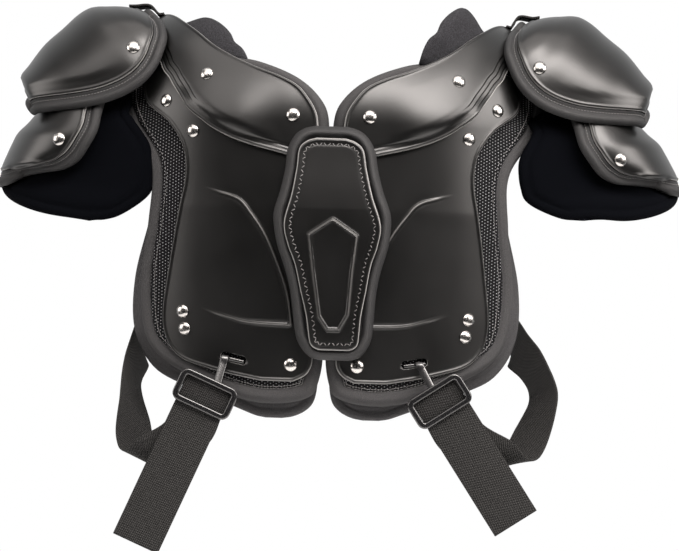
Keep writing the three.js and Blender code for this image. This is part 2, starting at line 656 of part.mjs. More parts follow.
// Materials.
const finish = (color, roughness, metalness = 0) => ({ color, roughness, metalness });
const looks = {
  shell: finish(0x1b1a1b, 0.38),
  binding: finish(0x232326, 0.85),
  foam: finish(0x14161d, 0.92),
  lining: finish(0x2a2a2d, 0.9),
  heather: finish(0x3a3b40, 0.95),
  webbing: finish(0x141415, 0.8),
  rivet: finish(0xc9c9c9, 0.18, 1),
  hook: finish(0x18181a, 0.35, 0.7),
};

const group = new THREE.Group();

function add(name, geometry, look) {
  const mesh = new THREE.Mesh(geometry, new THREE.MeshStandardMaterial(looks[look]));
  mesh.name = name;
  group.add(mesh);
  return mesh;
}

for (const [name, side] of Object.entries(sides)) {
  const both = [...archRows.slice(1).reverse().map(([a, i, o]) => [-a, i, o]), ...archRows];
  add(`${name}_body_pad`, layer(padRows, side, 0, -padThick, 6, 3), "binding");
  const linerIn = -padThick - layerGap - linerThick;
  add(`${name}_liner`, layer(linerRows, side, linerIn + linerThick, linerIn, 3, 2), "lining");
  const plate = layer(plateRows, side, plateOut, layerGap, 6, 0, plateRelief);
  const slot = slotFrame(side);
  const slotBox = new THREE.BoxGeometry(slotLength, 4 * plateThick, slotWidth);
  slotBox.rotateY(rad(-side.slotTurn));
  slotBox.translate(slot.p.x, slot.p.y, slot.p.z);
  add(`${name}_chest_plate`, cut(plate, slotBox), "shell");
  add(`${name}_back_plate`, layer(backPlateRows, side, plateOut, layerGap, 6), "shell");
  add(`${name}_shoulder_arch`, layer(both, side, archOut, archIn, 4), "shell");
  const neckRelief = (x) => side.neckLift * smooth((0.74 - x / halfWidth) / 0.2);
  const neckOut = 0.5;
  const lifted = (rows) => layer(rows, side, neckOut, neckOut - neckPadThick, 4, 1.5, neckRelief);
  add(`${name}_neck_pad`, lifted(neckPadRows), "heather");
  const forms = formsOf(side);
  add(`${name}_epaulet_cap`, dome(forms.cap, side, capSteps, acrossSteps), "shell");
  add(`${name}_cap_rim`, rim(forms.cap, side, edgePath(capSteps, true), true, rimWidth, rimThick), "binding");
  add(`${name}_epaulet_flap`, dome(forms.flap, side, flapSteps, acrossSteps), "shell");
  add(`${name}_flap_rim`, rim(forms.flap, side, edgePath(flapSteps, false), false, rimWidth, rimThick), "binding");
  add(`${name}_deltoid_pad`, dome(forms.deltoid, side, 8, 8, 2.5), "foam");
  add(`${name}_cap_hinge`, hingeGeometry(side), "webbing");
  add(`${name}_strap_hook`, hookGeometry(side), "hook");
  add(`${name}_side_strap`, strapGeometry(name, side), "webbing");
  for (const [label, station, share, height] of rivetRows) {
    const at = body(side.sign * share * halfWidth, along(station), height + seat, side.slope);
    const rivet = add(`${name}_${label}`, rivetGeometry(), "rivet");
    rivet.quaternion.setFromUnitVectors(v3(0, 1, 0), at.n);
    rivet.position.copy(at.p);
  }
  const domeRivets = [["cap_rivet", forms.cap, ...side.capRivet], ["flap_rivet", forms.flap, ...side.flapRivet]];
  for (const [label, form, u, v] of domeRivets) {
    const n = domeNormal(form, u, v);
    const foot = place(domePoint(form, u, v).addScaledVector(n, seat - rivetSink), side);
    const tip = place(domePoint(form, u, v).addScaledVector(n, seat - rivetSink + 1), side);
    const rivet = add(`${name}_${label}`, rivetGeometry(), "rivet");
    rivet.quaternion.setFromUnitVectors(v3(0, 1, 0), tip.sub(foot).normalize());
    rivet.position.copy(foot);
  }
}

add("sternum_pad", sternumSolid(sternumRows, 0, sternumPadThick, 1.5, 4, false, 14, 6), "binding");
add("sternum_shell", sternumSolid(shellRows, sternumPadThick + seat, sternumShellThick, 1.5, 0, true, 12, 8), "shell");

// Hidden links behind the sternum pad and across the back hold the two halves together.
const bridgeDepth = archOut - plateOut - seat;
const frontBridge = new THREE.BoxGeometry(64, bridgeDepth, bridgeHeight);
add("front_bridge", frontBridge, "webbing").position.set(0, -(chestDepth + plateOut + seat + bridgeDepth / 2), -96);
const backBridge = new THREE.BoxGeometry(64, webThick, bridgeHeight);
add("back_bridge", backBridge, "webbing").position.set(0, backDepth + plateOut + seat + webThick / 2, -96);

export default group;
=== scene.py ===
"""Football shoulder pad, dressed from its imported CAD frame.

Every shown piece is a surface worked out with numpy in millimetres, in the frame of the part: +X to the
right as seen from the front, -Y to the front, +Z up. The forms repeat those of the part's source.
"""
import math

import bpy
import numpy as np
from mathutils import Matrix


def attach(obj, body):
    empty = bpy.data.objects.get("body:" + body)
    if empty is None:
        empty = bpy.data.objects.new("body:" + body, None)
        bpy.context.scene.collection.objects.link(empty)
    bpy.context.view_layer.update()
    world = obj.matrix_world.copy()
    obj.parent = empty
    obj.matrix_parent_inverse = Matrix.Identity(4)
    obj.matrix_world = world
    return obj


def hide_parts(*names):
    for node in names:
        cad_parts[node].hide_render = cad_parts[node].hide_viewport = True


bl_info = {
    "name": "Football shoulder pad",
    "version": (1, 0, 0),
    "blender": (4, 5, 0),
    "location": "View3D > Sidebar > Shoulder pad",
    "description": "Builds the cloth, shells, straps and stage of a football shoulder pad",
    "category": "Object",
}

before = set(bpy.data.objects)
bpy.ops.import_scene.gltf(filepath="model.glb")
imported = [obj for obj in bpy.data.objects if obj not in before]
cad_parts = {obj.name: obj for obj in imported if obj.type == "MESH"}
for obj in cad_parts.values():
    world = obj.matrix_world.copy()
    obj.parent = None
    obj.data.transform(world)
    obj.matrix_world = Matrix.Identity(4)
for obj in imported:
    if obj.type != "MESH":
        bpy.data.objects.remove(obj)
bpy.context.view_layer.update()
MM = 0.001
TAU = 2 * math.pi

HALF_WIDTH = 150.0
CHEST_DEPTH = 118.0
BACK_DEPTH = 100.0
REACH = 103.0
RISE = 94.0
CHEST_LINE = -42.0
FRONT_DROP = 222.0
BACK_DROP = 205.0
SIDE_FALL = 0.38
SLOPE_START = 105.0
SLOPE_SPAN = 75.0
WAIST_START = -110.0
WAIST_LEAN = 0.06
QUARTER = REACH * math.pi / 2
PAD_THICK = 12.0
LINER_THICK = 7.0
NECK_THICK = 7.0
PLATE_IN = 1.0
PLATE_OUT = 3.4
ARCH_IN = 4.4
ARCH_OUT = 7.2
SEAT = 0.35
CAP_INNER = 135.0
CAP_REACH = 124.0
CAP_TOP = 56.0
CAP_FALL = 84.0
CAP_DEPTH = 88.0
DOME_ROUND = 250.0
PIVOT_X = 128.0
PIVOT_Z = 45.0
RIM_GAP = 0.8
RIM_WIDTH = 10.0
RIM_SHOWN = 12.2

SIDES = {
    "left": dict(
        sign=-1, near=2, lift=0, sink=1.2, slope=22, neck=3, grow=1.0, hem=1.0, hook_turn=-23.2, slot_turn=-11,
        hook_x=93, free_end=119, stem_foot=5.5, stem_tip=-6, cap_rivet=(0.37, -0.88),
        flap_rivet=(0.465, -0.86)),
    "right": dict(
        sign=1, near=6.5, lift=7, sink=5.1, slope=25, neck=19, grow=1.07, hem=0.87, hook_turn=33.8, slot_turn=8,
        hook_x=92.3, free_end=102.5, stem_foot=0, stem_tip=2.8, cap_rivet=(0.395, -0.9),
        flap_rivet=(0.53, -0.88)),
}

# Layers of the body: station over the shoulder, then inner and outer edge as shares of the half width.
ARCH = [
    [0, 0.94, 1.187], [0.17, 0.883, 1.167], [0.38, 0.79, 1.1], [0.544, 0.667, 0.96], [0.637, 0.553, 0.913],
    [0.711, 0.413, 0.887], [0.766, 0.273, 0.853], [0.816, 0.18, 0.827], [0.878, 0.123, 0.787],
    [0.946, 0.081, 0.74], [1.01, 0.067, 0.653], [1.055, 0.063, 0.54], [1.086, 0.063, 0.413],
    [1.114, 0.067, 0.247], [1.127, 0.08, 0.18],
]
ARCH = [[-a, i, o] for a, i, o in ARCH[:0:-1]] + ARCH
PLATE = [
    [0.643, 0.747, 0.973], [0.742, 0.467, 1.0], [0.828, 0.267, 1.0], [0.902, 0.147, 0.973],
    [0.977, 0.093, 0.893], [1.037, 0.073, 0.823], [1.095, 0.06, 0.777], [1.163, 0.06, 0.759],
    [1.226, 0.06, 0.763], [1.298, 0.06, 0.783], [1.397, 0.06, 0.807], [1.559, 0.06, 0.84],
    [1.677, 0.06, 0.86], [1.758, 0.06, 0.85], [1.821, 0.06, 0.807], [1.861, 0.063, 0.733],
    [1.888, 0.08, 0.6], [1.906, 0.107, 0.48], [1.924, 0.16, 0.333],
]
BACK_PLATE = [
    [-1.87, 0.16, 0.4], [-1.82, 0.08, 0.667], [-1.7, 0.06, 0.813], [-1.48, 0.06, 0.827],
    [-1.23, 0.06, 0.813], [-1.037, 0.073, 0.88], [-0.902, 0.147, 0.973], [-0.773, 0.4, 1.0],
    [-0.643, 0.747, 0.973],
]
PAD = [
    [-1.92, 0.2, 0.4], [-1.86, 0.05, 0.7], [-1.75, 0.009, 0.9], [-1.5, 0.009, 1.0], [-1.22, 0.009, 0.987],
    [-1.023, 0.009, 1.1], [-0.884, 0.043, 1.147], [-0.742, 0.173, 1.153], [-0.637, 0.387, 1.153],
    [-0.58, 0.62, 1.147], [-0.46, 0.765, 1.14], [-0.25, 0.88, 1.12],
    [0, 0.965, 1.1], [0.25, 0.88, 1.12], [0.46, 0.765, 1.14], [0.58, 0.62, 1.147], [0.637, 0.387, 1.153],
    [0.742, 0.173, 1.153], [0.884, 0.043, 1.147], [1.023, 0.009, 1.1], [1.168, 0.009, 0.975],
    [1.348, 0.009, 0.98], [1.559, 0.009, 1.015], [1.762, 0.009, 0.987], [1.861, 0.009, 0.887],
    [1.935, 0.03, 0.68], [1.975, 0.06, 0.55], [1.998, 0.14, 0.42], [2.008, 0.24, 0.33],
]
LINER = [
    [-1.9, 0.1, 0.6], [-1.7, 0.03, 0.95], [-1.3, 0.03, 0.98], [-1.0, 0.04, 1.0], [-0.72, 0.3, 1.02],
    [-0.4, 0.84, 1.03], [0, 0.985, 1.04], [0.4, 0.84, 1.03], [0.72, 0.3, 1.02], [1.0, 0.04, 1.0],
    [1.17, 0.03, 0.987], [1.343, 0.03, 1.033], [1.568, 0.03, 1.117], [1.762, 0.03, 1.113],
    [1.898, 0.03, 0.993], [1.965, 0.035, 0.78], [2.01, 0.055, 0.58], [2.04, 0.1, 0.45],
    [2.058, 0.16, 0.37], [2.065, 0.22, 0.31],
]
NECK = [
    [0.27, 0.7, 0.86], [0.3, 0.655, 0.86], [0.37, 0.6, 0.84], [0.45, 0.555, 0.8], [0.52, 0.53, 0.75],
    [0.565, 0.49, 0.7], [0.61, 0.465, 0.64], [0.655, 0.45, 0.6],
]
# Domes: for each row the ridge's reach and drop, the edge's reach and drop, and the depth.
CAP = [
    [0.237, 0.019, 0.161, 0.083, 0.4], [0.305, 0.002, 0.109, 0.171, 0.66], [0.372, -0.004, 0.086, 0.292, 0.84],
    [0.446, -0.001, 0.104, 0.427, 0.93], [0.506, 0.002, 0.136, 0.561, 0.97], [0.566, 0.025, 0.196, 0.683, 1.0],
    [0.639, 0.098, 0.29, 0.785, 1.0], [0.73, 0.231, 0.43, 0.869, 0.98], [0.847, 0.395, 0.599, 0.921, 0.93],
    [0.944, 0.598, 0.761, 0.952, 0.84], [0.997, 0.72, 0.86, 0.972, 0.74], [0.957, 0.86, 0.9, 0.99, 0.63],
]
FLAP = [
    [0.8, 0.0, 0.484, 0.0, 0.82], [0.87, 0.17, 0.504, 0.19, 0.9], [0.94, 0.34, 0.519, 0.385, 0.955],
    [1.01, 0.48, 0.561, 0.56, 0.975], [1.048, 0.625, 0.619, 0.74, 0.95], [1.08, 0.77, 0.706, 0.865, 0.88],
    [1.104, 0.89, 0.817, 0.92, 0.79], [1.118, 0.975, 0.96, 0.965, 0.56],
]
DELTOID = [
    [0.69, -0.12, 0.24, -0.1, 0.6], [0.73, 0.0, 0.27, 0.06, 0.82], [0.79, 0.17, 0.232, 0.14, 0.87],
    [0.855, 0.33, 0.155, 0.26, 0.91], [0.925, 0.44, 0.1, 0.37, 0.93], [0.975, 0.53, 0.074, 0.5, 0.94],
    [1.015, 0.59, 0.066, 0.62, 0.94], [1.045, 0.635, 0.08, 0.74, 0.94], [1.095, 0.665, 0.18, 0.86, 0.945],
    [1.114, 0.68, 0.285, 0.945, 0.935], [1.122, 0.686, 0.38, 0.985, 0.92], [1.125, 0.69, 0.47, 1.0, 0.9],
]


def forms_of(side):
    """The three domes of a side: each hangs from the one above it."""
    fall = CAP_FALL * side["grow"]
    plain = dict(bow=0.0, tuck=0.0, near=0.0, hem=1.0)
    return {
        "cap": dict(plain, rows=CAP, top=CAP_TOP, fall=fall, thick=3.0, steps=11),
        "flap": dict(plain, rows=FLAP, top=CAP_TOP - 0.915 * fall, fall=64.0, thick=2.6, steps=7),
        "deltoid": dict(
            rows=DELTOID, top=CAP_TOP - 0.964 * fall, fall=100.0, bow=6.0, tuck=16.0, near=side["near"],
            hem=side["hem"], thick=10.0),
    }


# Rivets: station, share of the half width and the face that each sits on.
RIVETS = [
    ("arch_rivet", 0.764, 0.653, ARCH_OUT), ("collar_rivet", 0.967, 0.2, ARCH_OUT),
    ("strap_rivet_upper", 0.89, 0.873, PLATE_OUT), ("strap_rivet_lower", 1.039, 0.723, PLATE_OUT),
    ("side_rivet_upper", 1.686, 0.75, PLATE_OUT), ("side_rivet_lower", 1.748, 0.737, PLATE_OUT),
    ("waist_rivet", 1.864, 0.175, PLATE_OUT),
]
# Outline of the raised field of the chest plate: distance from the mid-plane and height.
FIELD = [
    [102, -93], [86.3, -97.6], [69.5, -103.3], [59.7, -114.1], [49, -129.6], [37.9, -153.7], [30.1, -175.6],
    [26.2, -198.4], [26, -203], [32.4, -203.3], [62.5, -201.9], [76.8, -198.4], [104, -190],
]
STERNUM_TOP = -45.0
STERNUM_HEIGHT = 187.0
STERNUM_HALF = 46.0
STERNUM_LEAN = 0.043
STERNUM_THICK = 11.0
STERNUM_TIP = 5.0
TIP_START = -125.0
TIP_SPAN = 90.0
STERNUM_CROWN = 1.5
SHELL_THICK = 3.0
# Outlines of the sternum pad and of its shell: share of the height and of the half width.
STERNUM = [
    [0, 0.28], [0.012, 0.46], [0.04, 0.62], [0.1, 0.75], [0.187, 0.8], [0.278, 0.89], [0.364, 1.0], [0.43, 1.0],
    [0.51, 0.945], [0.599, 0.83], [0.695, 0.74], [0.8, 0.695], [0.888, 0.65], [0.94, 0.55], [0.972, 0.42],
    [0.985, 0.27],
]
SHELL = [
    [0.052, 0.25], [0.066, 0.42], [0.1, 0.55], [0.18, 0.6], [0.29, 0.69], [0.41, 0.826], [0.5, 0.77],
    [0.583, 0.652], [0.695, 0.56], [0.8, 0.47], [0.905, 0.42], [0.932, 0.35], [0.942, 0.25],
]
# Raised panel of the sternum shell: place across and height of its corners.
ROOF = [
    [3.6, -116.5], [24, -130], [21, -160], [19, -193], [12, -206], [1, -206], [-6.5, -195], [-12, -160],
    [-16, -130],
]
HOOK_Z = -259.0
HOOK_LENGTH = 49.0
HOOK_WIDTH = 27.0
HOOK_BAR = 5.0
HOOK_THICK = 3.6
HOOK_ROOM = 3.2
# Sections of the hook's stem and crossbar: width, thickness and corner.
STEM_BAR = (6.4, 3.0, 1.2)
CROSSBAR = (3.4, 3.0, 1.3)
CROSSBAR_HALF = 8.6
WEB_WIDTH = 38.9
WEB_THICK = 1.9
SLOT_STATION = 1.848
SLOT_SHARE = 0.475
SLOT_LENGTH = 22.0
SLOT_HEIGHT = 7.0
LINK_HALF = 32.0
LINK_WIDTH = 22.0
LINK_Z = -96.0
HINGE_WIDTH = 32.0
ARCH_BELLY = 6.5
BELLY_AT = 172.0
BELLY_SPAN = 30.0
FLOOR_RADIUS = 650.0
FLOOR_Z = -500.0
# Camera: the turn is that of the photo itself, in degrees.
CAMERA_PLACE = (0.0102, -2.318, -0.1621)
CAMERA_TURN = -1.8
CAMERA_LENS = 147.65
STITCH_DEPTH = 5.0
# Rows of a strap: centre (out, forward, down) as shares of the body's sizes, then the direction across it.
STRAPS = {
    "left": [
        [0.99, -0.565, 0.72, 0, 0.1, -1], [1.045, -0.42, 0.74, 0, 0.15, -1],
        [1.03, -0.08, 0.79, 0.05, 0.3, -0.95],
        [1.01, 0.24, 0.838, 0.3, 0.62, -0.7], [1.03, 0.38, 0.892, 0.32, 0.8, -0.5],
        [1.04, 0.48, 0.946, 0.32, 0.9, -0.28], [1.03, 0.56, 1.018, 0.42, 0.88, -0.1],
        [1.013, 0.64, 1.086, 0.63, 0.77, -0.12], [1.0, 0.71, 1.149, 0.73, 0.66, -0.2],
        [0.973, 0.79, 1.205, 0.75, 0.58, -0.3], [0.925, 0.875, 1.225, 0.76, 0.45, -0.45],
        [0.87, 0.94, 1.195, 0.8, 0.2, -0.56],
    ],
    "right": [
        [0.99, -0.565, 0.7, 0, 0.1, -1], [1.045, -0.42, 0.72, 0, 0.15, -1],
        [1.05, -0.08, 0.76, 0.05, 0.3, -0.95],
        [1.06, 0.22, 0.8, 0.34, 0.58, -0.74], [1.115, 0.33, 0.84, 0.36, 0.7, -0.61],
        [1.165, 0.41, 0.896, 0.38, 0.8, -0.46], [1.19, 0.49, 0.955, 0.51, 0.82, -0.27],
        [1.173, 0.58, 1.01, 0.58, 0.8, -0.12], [1.12, 0.68, 1.1, 0.66, 0.74, 0.1],
        [1.06, 0.78, 1.17, 0.7, 0.66, 0.0], [0.985, 0.87, 1.2, 0.74, 0.5, -0.3],
        [0.915, 0.94, 1.17, 0.78, 0.2, -0.6],
    ],
}


def smooth(t):
    """Rises from 0 to 1 without a corner while t goes from 0 to 1."""
    c = np.clip(t, 0.0, 1.0)
    return c * c * (3 - 2 * c)


def mix(a, b, t):
    return a + (b - a) * t


def unit(v):
    return v / np.maximum(np.linalg.norm(v, axis=-1, keepdims=True), 1e-9)


def cubic(a, b, slope_a, slope_b, f):
    """Smooth cubic from a to b with the given slopes there, for f from 0 to 1."""
    f2, f3 = f * f, f * f * f
    return (2 * f3 - 3 * f2 + 1) * a + (f3 - 2 * f2 + f) * slope_a + (3 * f2 - 2 * f3) * b + (f3 - f2) * slope_b


def column(rows, k, t):
    """Value of column k at row position t: the smooth cubic through the rows, straight beyond its ends."""
    r = np.asarray(rows, float)[:, k]
    n = len(r) - 1
    r = np.concatenate([[2 * r[0] - r[1]], r, [2 * r[-1] - r[-2]]])
    t = np.asarray(t, float)
    i = np.clip(np.floor(t).astype(int), 0, n - 1)
    return cubic(r[i + 1], r[i + 2], (r[i + 2] - r[i]) / 2, (r[i + 3] - r[i + 1]) / 2, t - i)


def along(a):
    """Length over the shoulder for a station: 1 is the chest line, 2 the lower edge, below 0 the back."""
    a = np.asarray(a, float)
    m = np.abs(a)
    drop = np.where(a >= 0, FRONT_DROP, BACK_DROP)
    return np.sign(a) * np.where(m <= 1, m * QUARTER, QUARTER + (m - 1) * drop)


def station(s):
    m = np.abs(s)
    drop = np.where(s >= 0, FRONT_DROP, BACK_DROP)
    return np.sign(s) * np.where(m <= QUARTER, m / QUARTER, 1 + (m - QUARTER) / drop)


def body_base(x, s, slope):
    """Point of the body form: a quarter turn from the shoulder line to the chest or back, then straight
    down, with a depth that falls off to the side and shoulders that slope towards the arm."""
    m = np.abs(s)
    front = s >= 0
    depth = np.where(front, CHEST_DEPTH, BACK_DEPTH) * (1 - SIDE_FALL * (np.abs(x) / HALF_WIDTH) ** 3)
    angle = np.minimum(m / REACH, math.pi / 2)
    fall = slope * smooth((np.abs(x) - SLOPE_START) / SLOPE_SPAN) * np.cos(angle)
    z = CHEST_LINE + RISE * np.cos(angle) - fall - np.maximum(0, m - QUARTER)
    y = depth * np.sin(angle) - WAIST_LEAN * np.maximum(0, WAIST_START - z)
    return np.stack([x + 0 * s, np.where(front, -y, y), z], -1)


def body(x, s, d, slope):
    """Point at distance d outside the body form, and the form's outward normal there."""
    x, s = np.broadcast_arrays(np.asarray(x, float), np.asarray(s, float))
    e = 0.5
    across = body_base(x + e, s, slope) - body_base(x - e, s, slope)
    down = body_base(x, s + e, slope) - body_base(x, s - e, slope)
    n = unit(np.cross(down, across))
    d = np.asarray(d, float)
    return body_base(x, s, slope) + n * (d[..., None] if d.ndim else d), n


def dome_point(form, u, v):
    """Point of a dome from its front edge (v -1) over the ridge to its back edge (v 1): each section is a
    quarter ellipse on either side between the ridge point and the edge point of its table row."""
    u, v = np.broadcast_arrays(np.asarray(u, float), np.asarray(v, float))
    c = [column(form["rows"], k, u * (len(form["rows"]) - 1)) for k in range(5)]
    angle = np.abs(v) * math.pi / 2
    swing = 1 - np.cos(angle)
    x = CAP_INNER + CAP_REACH * mix(c[0], c[2], swing)
    z = form["top"] - form["fall"] * mix(c[1], c[3] * form["hem"], swing)
    z = z - form["bow"] * smooth((u - 0.5) / 0.5) * np.sin(2 * angle)
    hidden = np.where(v > 0, form["tuck"] * swing, 0.0)
    x = x + hidden - form["near"] * swing * (0.25 + 2.8 * (1 - u) ** 2)
    z = z + 0.7 * hidden
    return np.stack([x, np.sign(v) * CAP_DEPTH * c[4] * np.sin(angle), z], -1)


def dome(form, u, v):
    u, v = np.broadcast_arrays(np.asarray(u, float), np.asarray(v, float))
    e = 1e-3
    du = dome_point(form, np.minimum(1, u + e), v) - dome_point(form, np.maximum(0, u - e), v)
    dv = dome_point(form, u, np.minimum(1, v + e)) - dome_point(form, u, np.maximum(-1, v - e))
    return dome_point(form, u, v), -unit(np.cross(dv, du))


def place(p, side):
    """Turns a point of the right-hand epaulet about its hinge, lowers it and puts it on its side."""
    a = math.radians(side["lift"])
    dx, dz = p[..., 0] - PIVOT_X, p[..., 2] - PIVOT_Z
    x = PIVOT_X + dx * math.cos(a) - dz * math.sin(a)
    z = PIVOT_Z + dz * math.cos(a) + dx * math.sin(a) - side["sink"]
    return np.stack([side["sign"] * x, p[..., 1], z], -1)


def place_normal(n, side):
    a = math.radians(side["lift"])
    x = n[..., 0] * math.cos(a) - n[..., 2] * math.sin(a)
    z = n[..., 2] * math.cos(a) + n[..., 0] * math.sin(a)
    return np.stack([side["sign"] * x, n[..., 1], z], -1)


def distance_to(points, line, closed=True):
    """Shortest distance from each point to a line of straight stretches."""
    a = np.asarray(line, float)
    b = np.roll(a, -1, axis=0)
    if not closed:
        a, b = a[:-1], b[:-1]
    ab = b - a
    size = np.maximum((ab * ab).sum(-1), 1e-9)
    flat = points.reshape(-1, points.shape[-1])
    parts = []
    for chunk in np.array_split(flat, max(1, len(flat) // 3000)):
        ap = chunk[:, None] - a[None]
        t = np.clip((ap * ab).sum(-1) / size, 0, 1)
        d = ap - t[..., None] * ab
        parts.append(np.sqrt((d * d).sum(-1).min(1)))
    return np.concatenate(parts).reshape(points.shape[:-1])


def inside(points, outline):
    """Signed distance to a closed outline in a plane, above 0 inside, by counting crossings."""
    a = np.asarray(outline, float)
    b = np.roll(a, -1, axis=0)
    x, y = points[..., 0, None], points[..., 1, None]
    dy = np.where(np.abs(b[:, 1] - a[:, 1]) < 1e-9, 1e-9, b[:, 1] - a[:, 1])
    cross = ((a[:, 1] > y) != (b[:, 1] > y)) & (x < (b[:, 0] - a[:, 0]) * (y - a[:, 1]) / dy + a[:, 0])
    return distance_to(points, a) * np.where(cross.sum(-1) % 2 == 1, 1, -1)


def bend(e, radius):
    """Quarter circle: 0 at the edge, 1 from radius inwards."""
    return np.sqrt(np.maximum(0, 1 - (1 - np.clip(e / radius, 0, 1)) ** 2))


def bump(e, at, width):
    return np.exp(-((e - at) / width) ** 2)


def border(grid):
    """The four edges of a grid of points as one closed line."""
    return np.concatenate([grid[0, :-1], grid[:-1, -1], grid[-1, :0:-1], grid[:0:-1, 0]])


def spread(length, offsets, step):
    """Positions from 0 to length: close to both ends as offsets say, and step apart between them."""
    offsets = np.asarray(offsets, float)
    k = min(1.0, 0.45 * length / offsets[-1])
    near = offsets * k
    count = max(2, int(round((length - 2 * near[-1]) / step)))
    middle = np.linspace(near[-1], length - near[-1], count + 1)
    return np.concatenate([near[:-1], middle, (length - near[:-1])[::-1]])


def layer_grid(rows, sign, offsets, step=4.0):
    """Grid of (x, s) between the inner and the outer edge of a table. Rows lie about step apart measured
    along the edges, and the columns near an edge keep the given distances from it."""
    n = len(rows) - 1
    t = np.linspace(0, n, 4000)
    s = along(column(rows, 0, t))
    xi, xo = column(rows, 1, t) * HALF_WIDTH, column(rows, 2, t) * HALF_WIDTH
    ki, ko = np.gradient(xi) / np.gradient(s), np.gradient(xo) / np.gradient(s)
    steepest = np.maximum(np.abs(ki), np.abs(ko))
    length = np.concatenate([[0], np.cumsum(np.hypot(1, steepest)[1:] * np.diff(s))])
    at = spread(length[-1], offsets, step)
    pick = np.interp(at, length, np.arange(len(t)))
    take = lambda v: np.interp(pick, np.arange(len(t)), v)
    s, xi, xo = take(s), take(xi), take(xo)
    fi, fo = np.minimum(np.hypot(1, take(ki)), 3), np.minimum(np.hypot(1, take(ko)), 3)
    width = xo - xi
    last = offsets[-1]
    count = max(4, int(round(np.max(width) / step)))
    share = np.linspace(0, 1, count + 1)
    off = np.asarray(offsets[:-1], float)
    room_i = np.minimum(fi, 0.42 * width / last)
    room_o = np.minimum(fo, 0.42 * width / last)
    left = xi[:, None] + off[None] * room_i[:, None]
    right = (xo[:, None] - off[None] * room_o[:, None])[:, ::-1]
    a, b = xi + last * room_i, xo - last * room_o
    middle = a[:, None] + (b - a)[:, None] * share[None]
    x = np.concatenate([left, middle, right], axis=1)
    return sign * x, np.repeat(s[:, None], x.shape[1], axis=1)


def path_length(p):
    step = np.linalg.norm(np.diff(p, axis=0), axis=1)
    return np.concatenate([[0], np.cumsum(step)])


def read_along(line, length, at):
    """Columns of a line at the given lengths along it."""
    return np.stack([np.interp(at, length, line[:, k]) for k in range(line.shape[1])], 1)


def resample(p, step, closed=False):
    """Points a given step apart along a line, and the line's directions there."""
    q = np.concatenate([p, p[:1]]) if closed else p
    length = path_length(q)
    at = np.linspace(0, length[-1], max(2, int(round(length[-1] / step))) + 1)
    if closed:
        at = at[:-1]
    ahead = read_along(q, length, np.minimum(at + 0.5, length[-1]))
    behind = read_along(q, length, np.maximum(at - 0.5, 0))
    return read_along(q, length, at), unit(ahead - behind)


def through(points, step):
    """Smooth line through the points, with speeds that follow their spacing, a given step apart.
    Any further columns after the first three are carried along."""
    p = np.asarray(points, float)
    gap = np.sqrt(np.maximum(np.linalg.norm(np.diff(p[:, :3], axis=0), axis=1), 1e-6))
    knot = np.concatenate([[0], np.cumsum(gap)])
    slope = np.gradient(p, knot, axis=0)
    fine = np.linspace(0, knot[-1], 60 * len(p))
    i = np.clip(np.searchsorted(knot, fine, side="right") - 1, 0, len(p) - 2)
    h = (knot[i + 1] - knot[i])[:, None]
    f = (fine[:, None] - knot[i][:, None]) / h
    q = cubic(p[i], p[i + 1], h * slope[i], h * slope[i + 1], f)
    length = path_length(q[:, :3])
    at = np.linspace(0, length[-1], max(2, int(round(length[-1] / step))) + 1)
    return read_along(q, length, at)


def mesh_object(name, verts, quads, tris=None, uv=None, attributes=None):
    """Puts arrays of points and faces into a mesh, in metres, with the faces turned outwards."""
    tris = np.zeros((0, 3), int) if tris is None else tris
    v = np.asarray(verts, float)
    corners = v[np.concatenate([quads[:, [0, 1, 2]], quads[:, [0, 2, 3]], tris])]
    if np.einsum("ij,ij->", corners[:, 0], np.cross(corners[:, 1], corners[:, 2])) < 0:
        quads, tris = quads[:, ::-1], tris[:, ::-1]
    flat = np.concatenate([quads.ravel(), tris.ravel()]).astype(np.int32)
    starts = np.concatenate([np.arange(len(quads)) * 4, len(quads) * 4 + np.arange(len(tris)) * 3])
    mesh = bpy.data.meshes.new(name)
    mesh.vertices.add(len(v))
    mesh.vertices.foreach_set("co", (v * MM).astype(np.float32).ravel())
    mesh.loops.add(len(flat))
    mesh.loops.foreach_set("vertex_index", flat)
    mesh.polygons.add(len(starts))
    mesh.polygons.foreach_set("loop_start", starts.astype(np.int32))
    mesh.update(calc_edges=True)
    mesh.polygons.foreach_set("use_smooth", np.ones(len(starts), dtype=bool))
    if uv is not None:
        layer = mesh.uv_layers.new(name="UVMap")
        layer.data.foreach_set("uv", np.asarray(uv, np.float32)[flat].ravel())
    for key, values in (attributes or {}).items():
        data = mesh.attributes.new(key, "FLOAT", "POINT").data
        data.foreach_set("value", np.asarray(values, np.float32).ravel())
    obj = bpy.data.objects.new(name, mesh)
    bpy.context.scene.collection.objects.link(obj)
    return obj


def ring_faces(idx):
    """Quads between the rows of a grid of point numbers whose rows close on themselves."""
    here, there = idx[:-1], idx[1:]
    return np.stack([here, np.roll(here, -1, 1), np.roll(there, -1, 1), there], -1).reshape(-1, 4)


def end_fans(idx):
    """Triangles that close the first and the last row round the two points after the grid."""
    first, last, n = idx[0], idx[-1], idx.size
    return np.concatenate([
        np.stack([np.roll(first, -1), first, np.full_like(first, n)], -1),
        np.stack([last, np.roll(last, -1), np.full_like(last, n + 1)], -1),
    ])


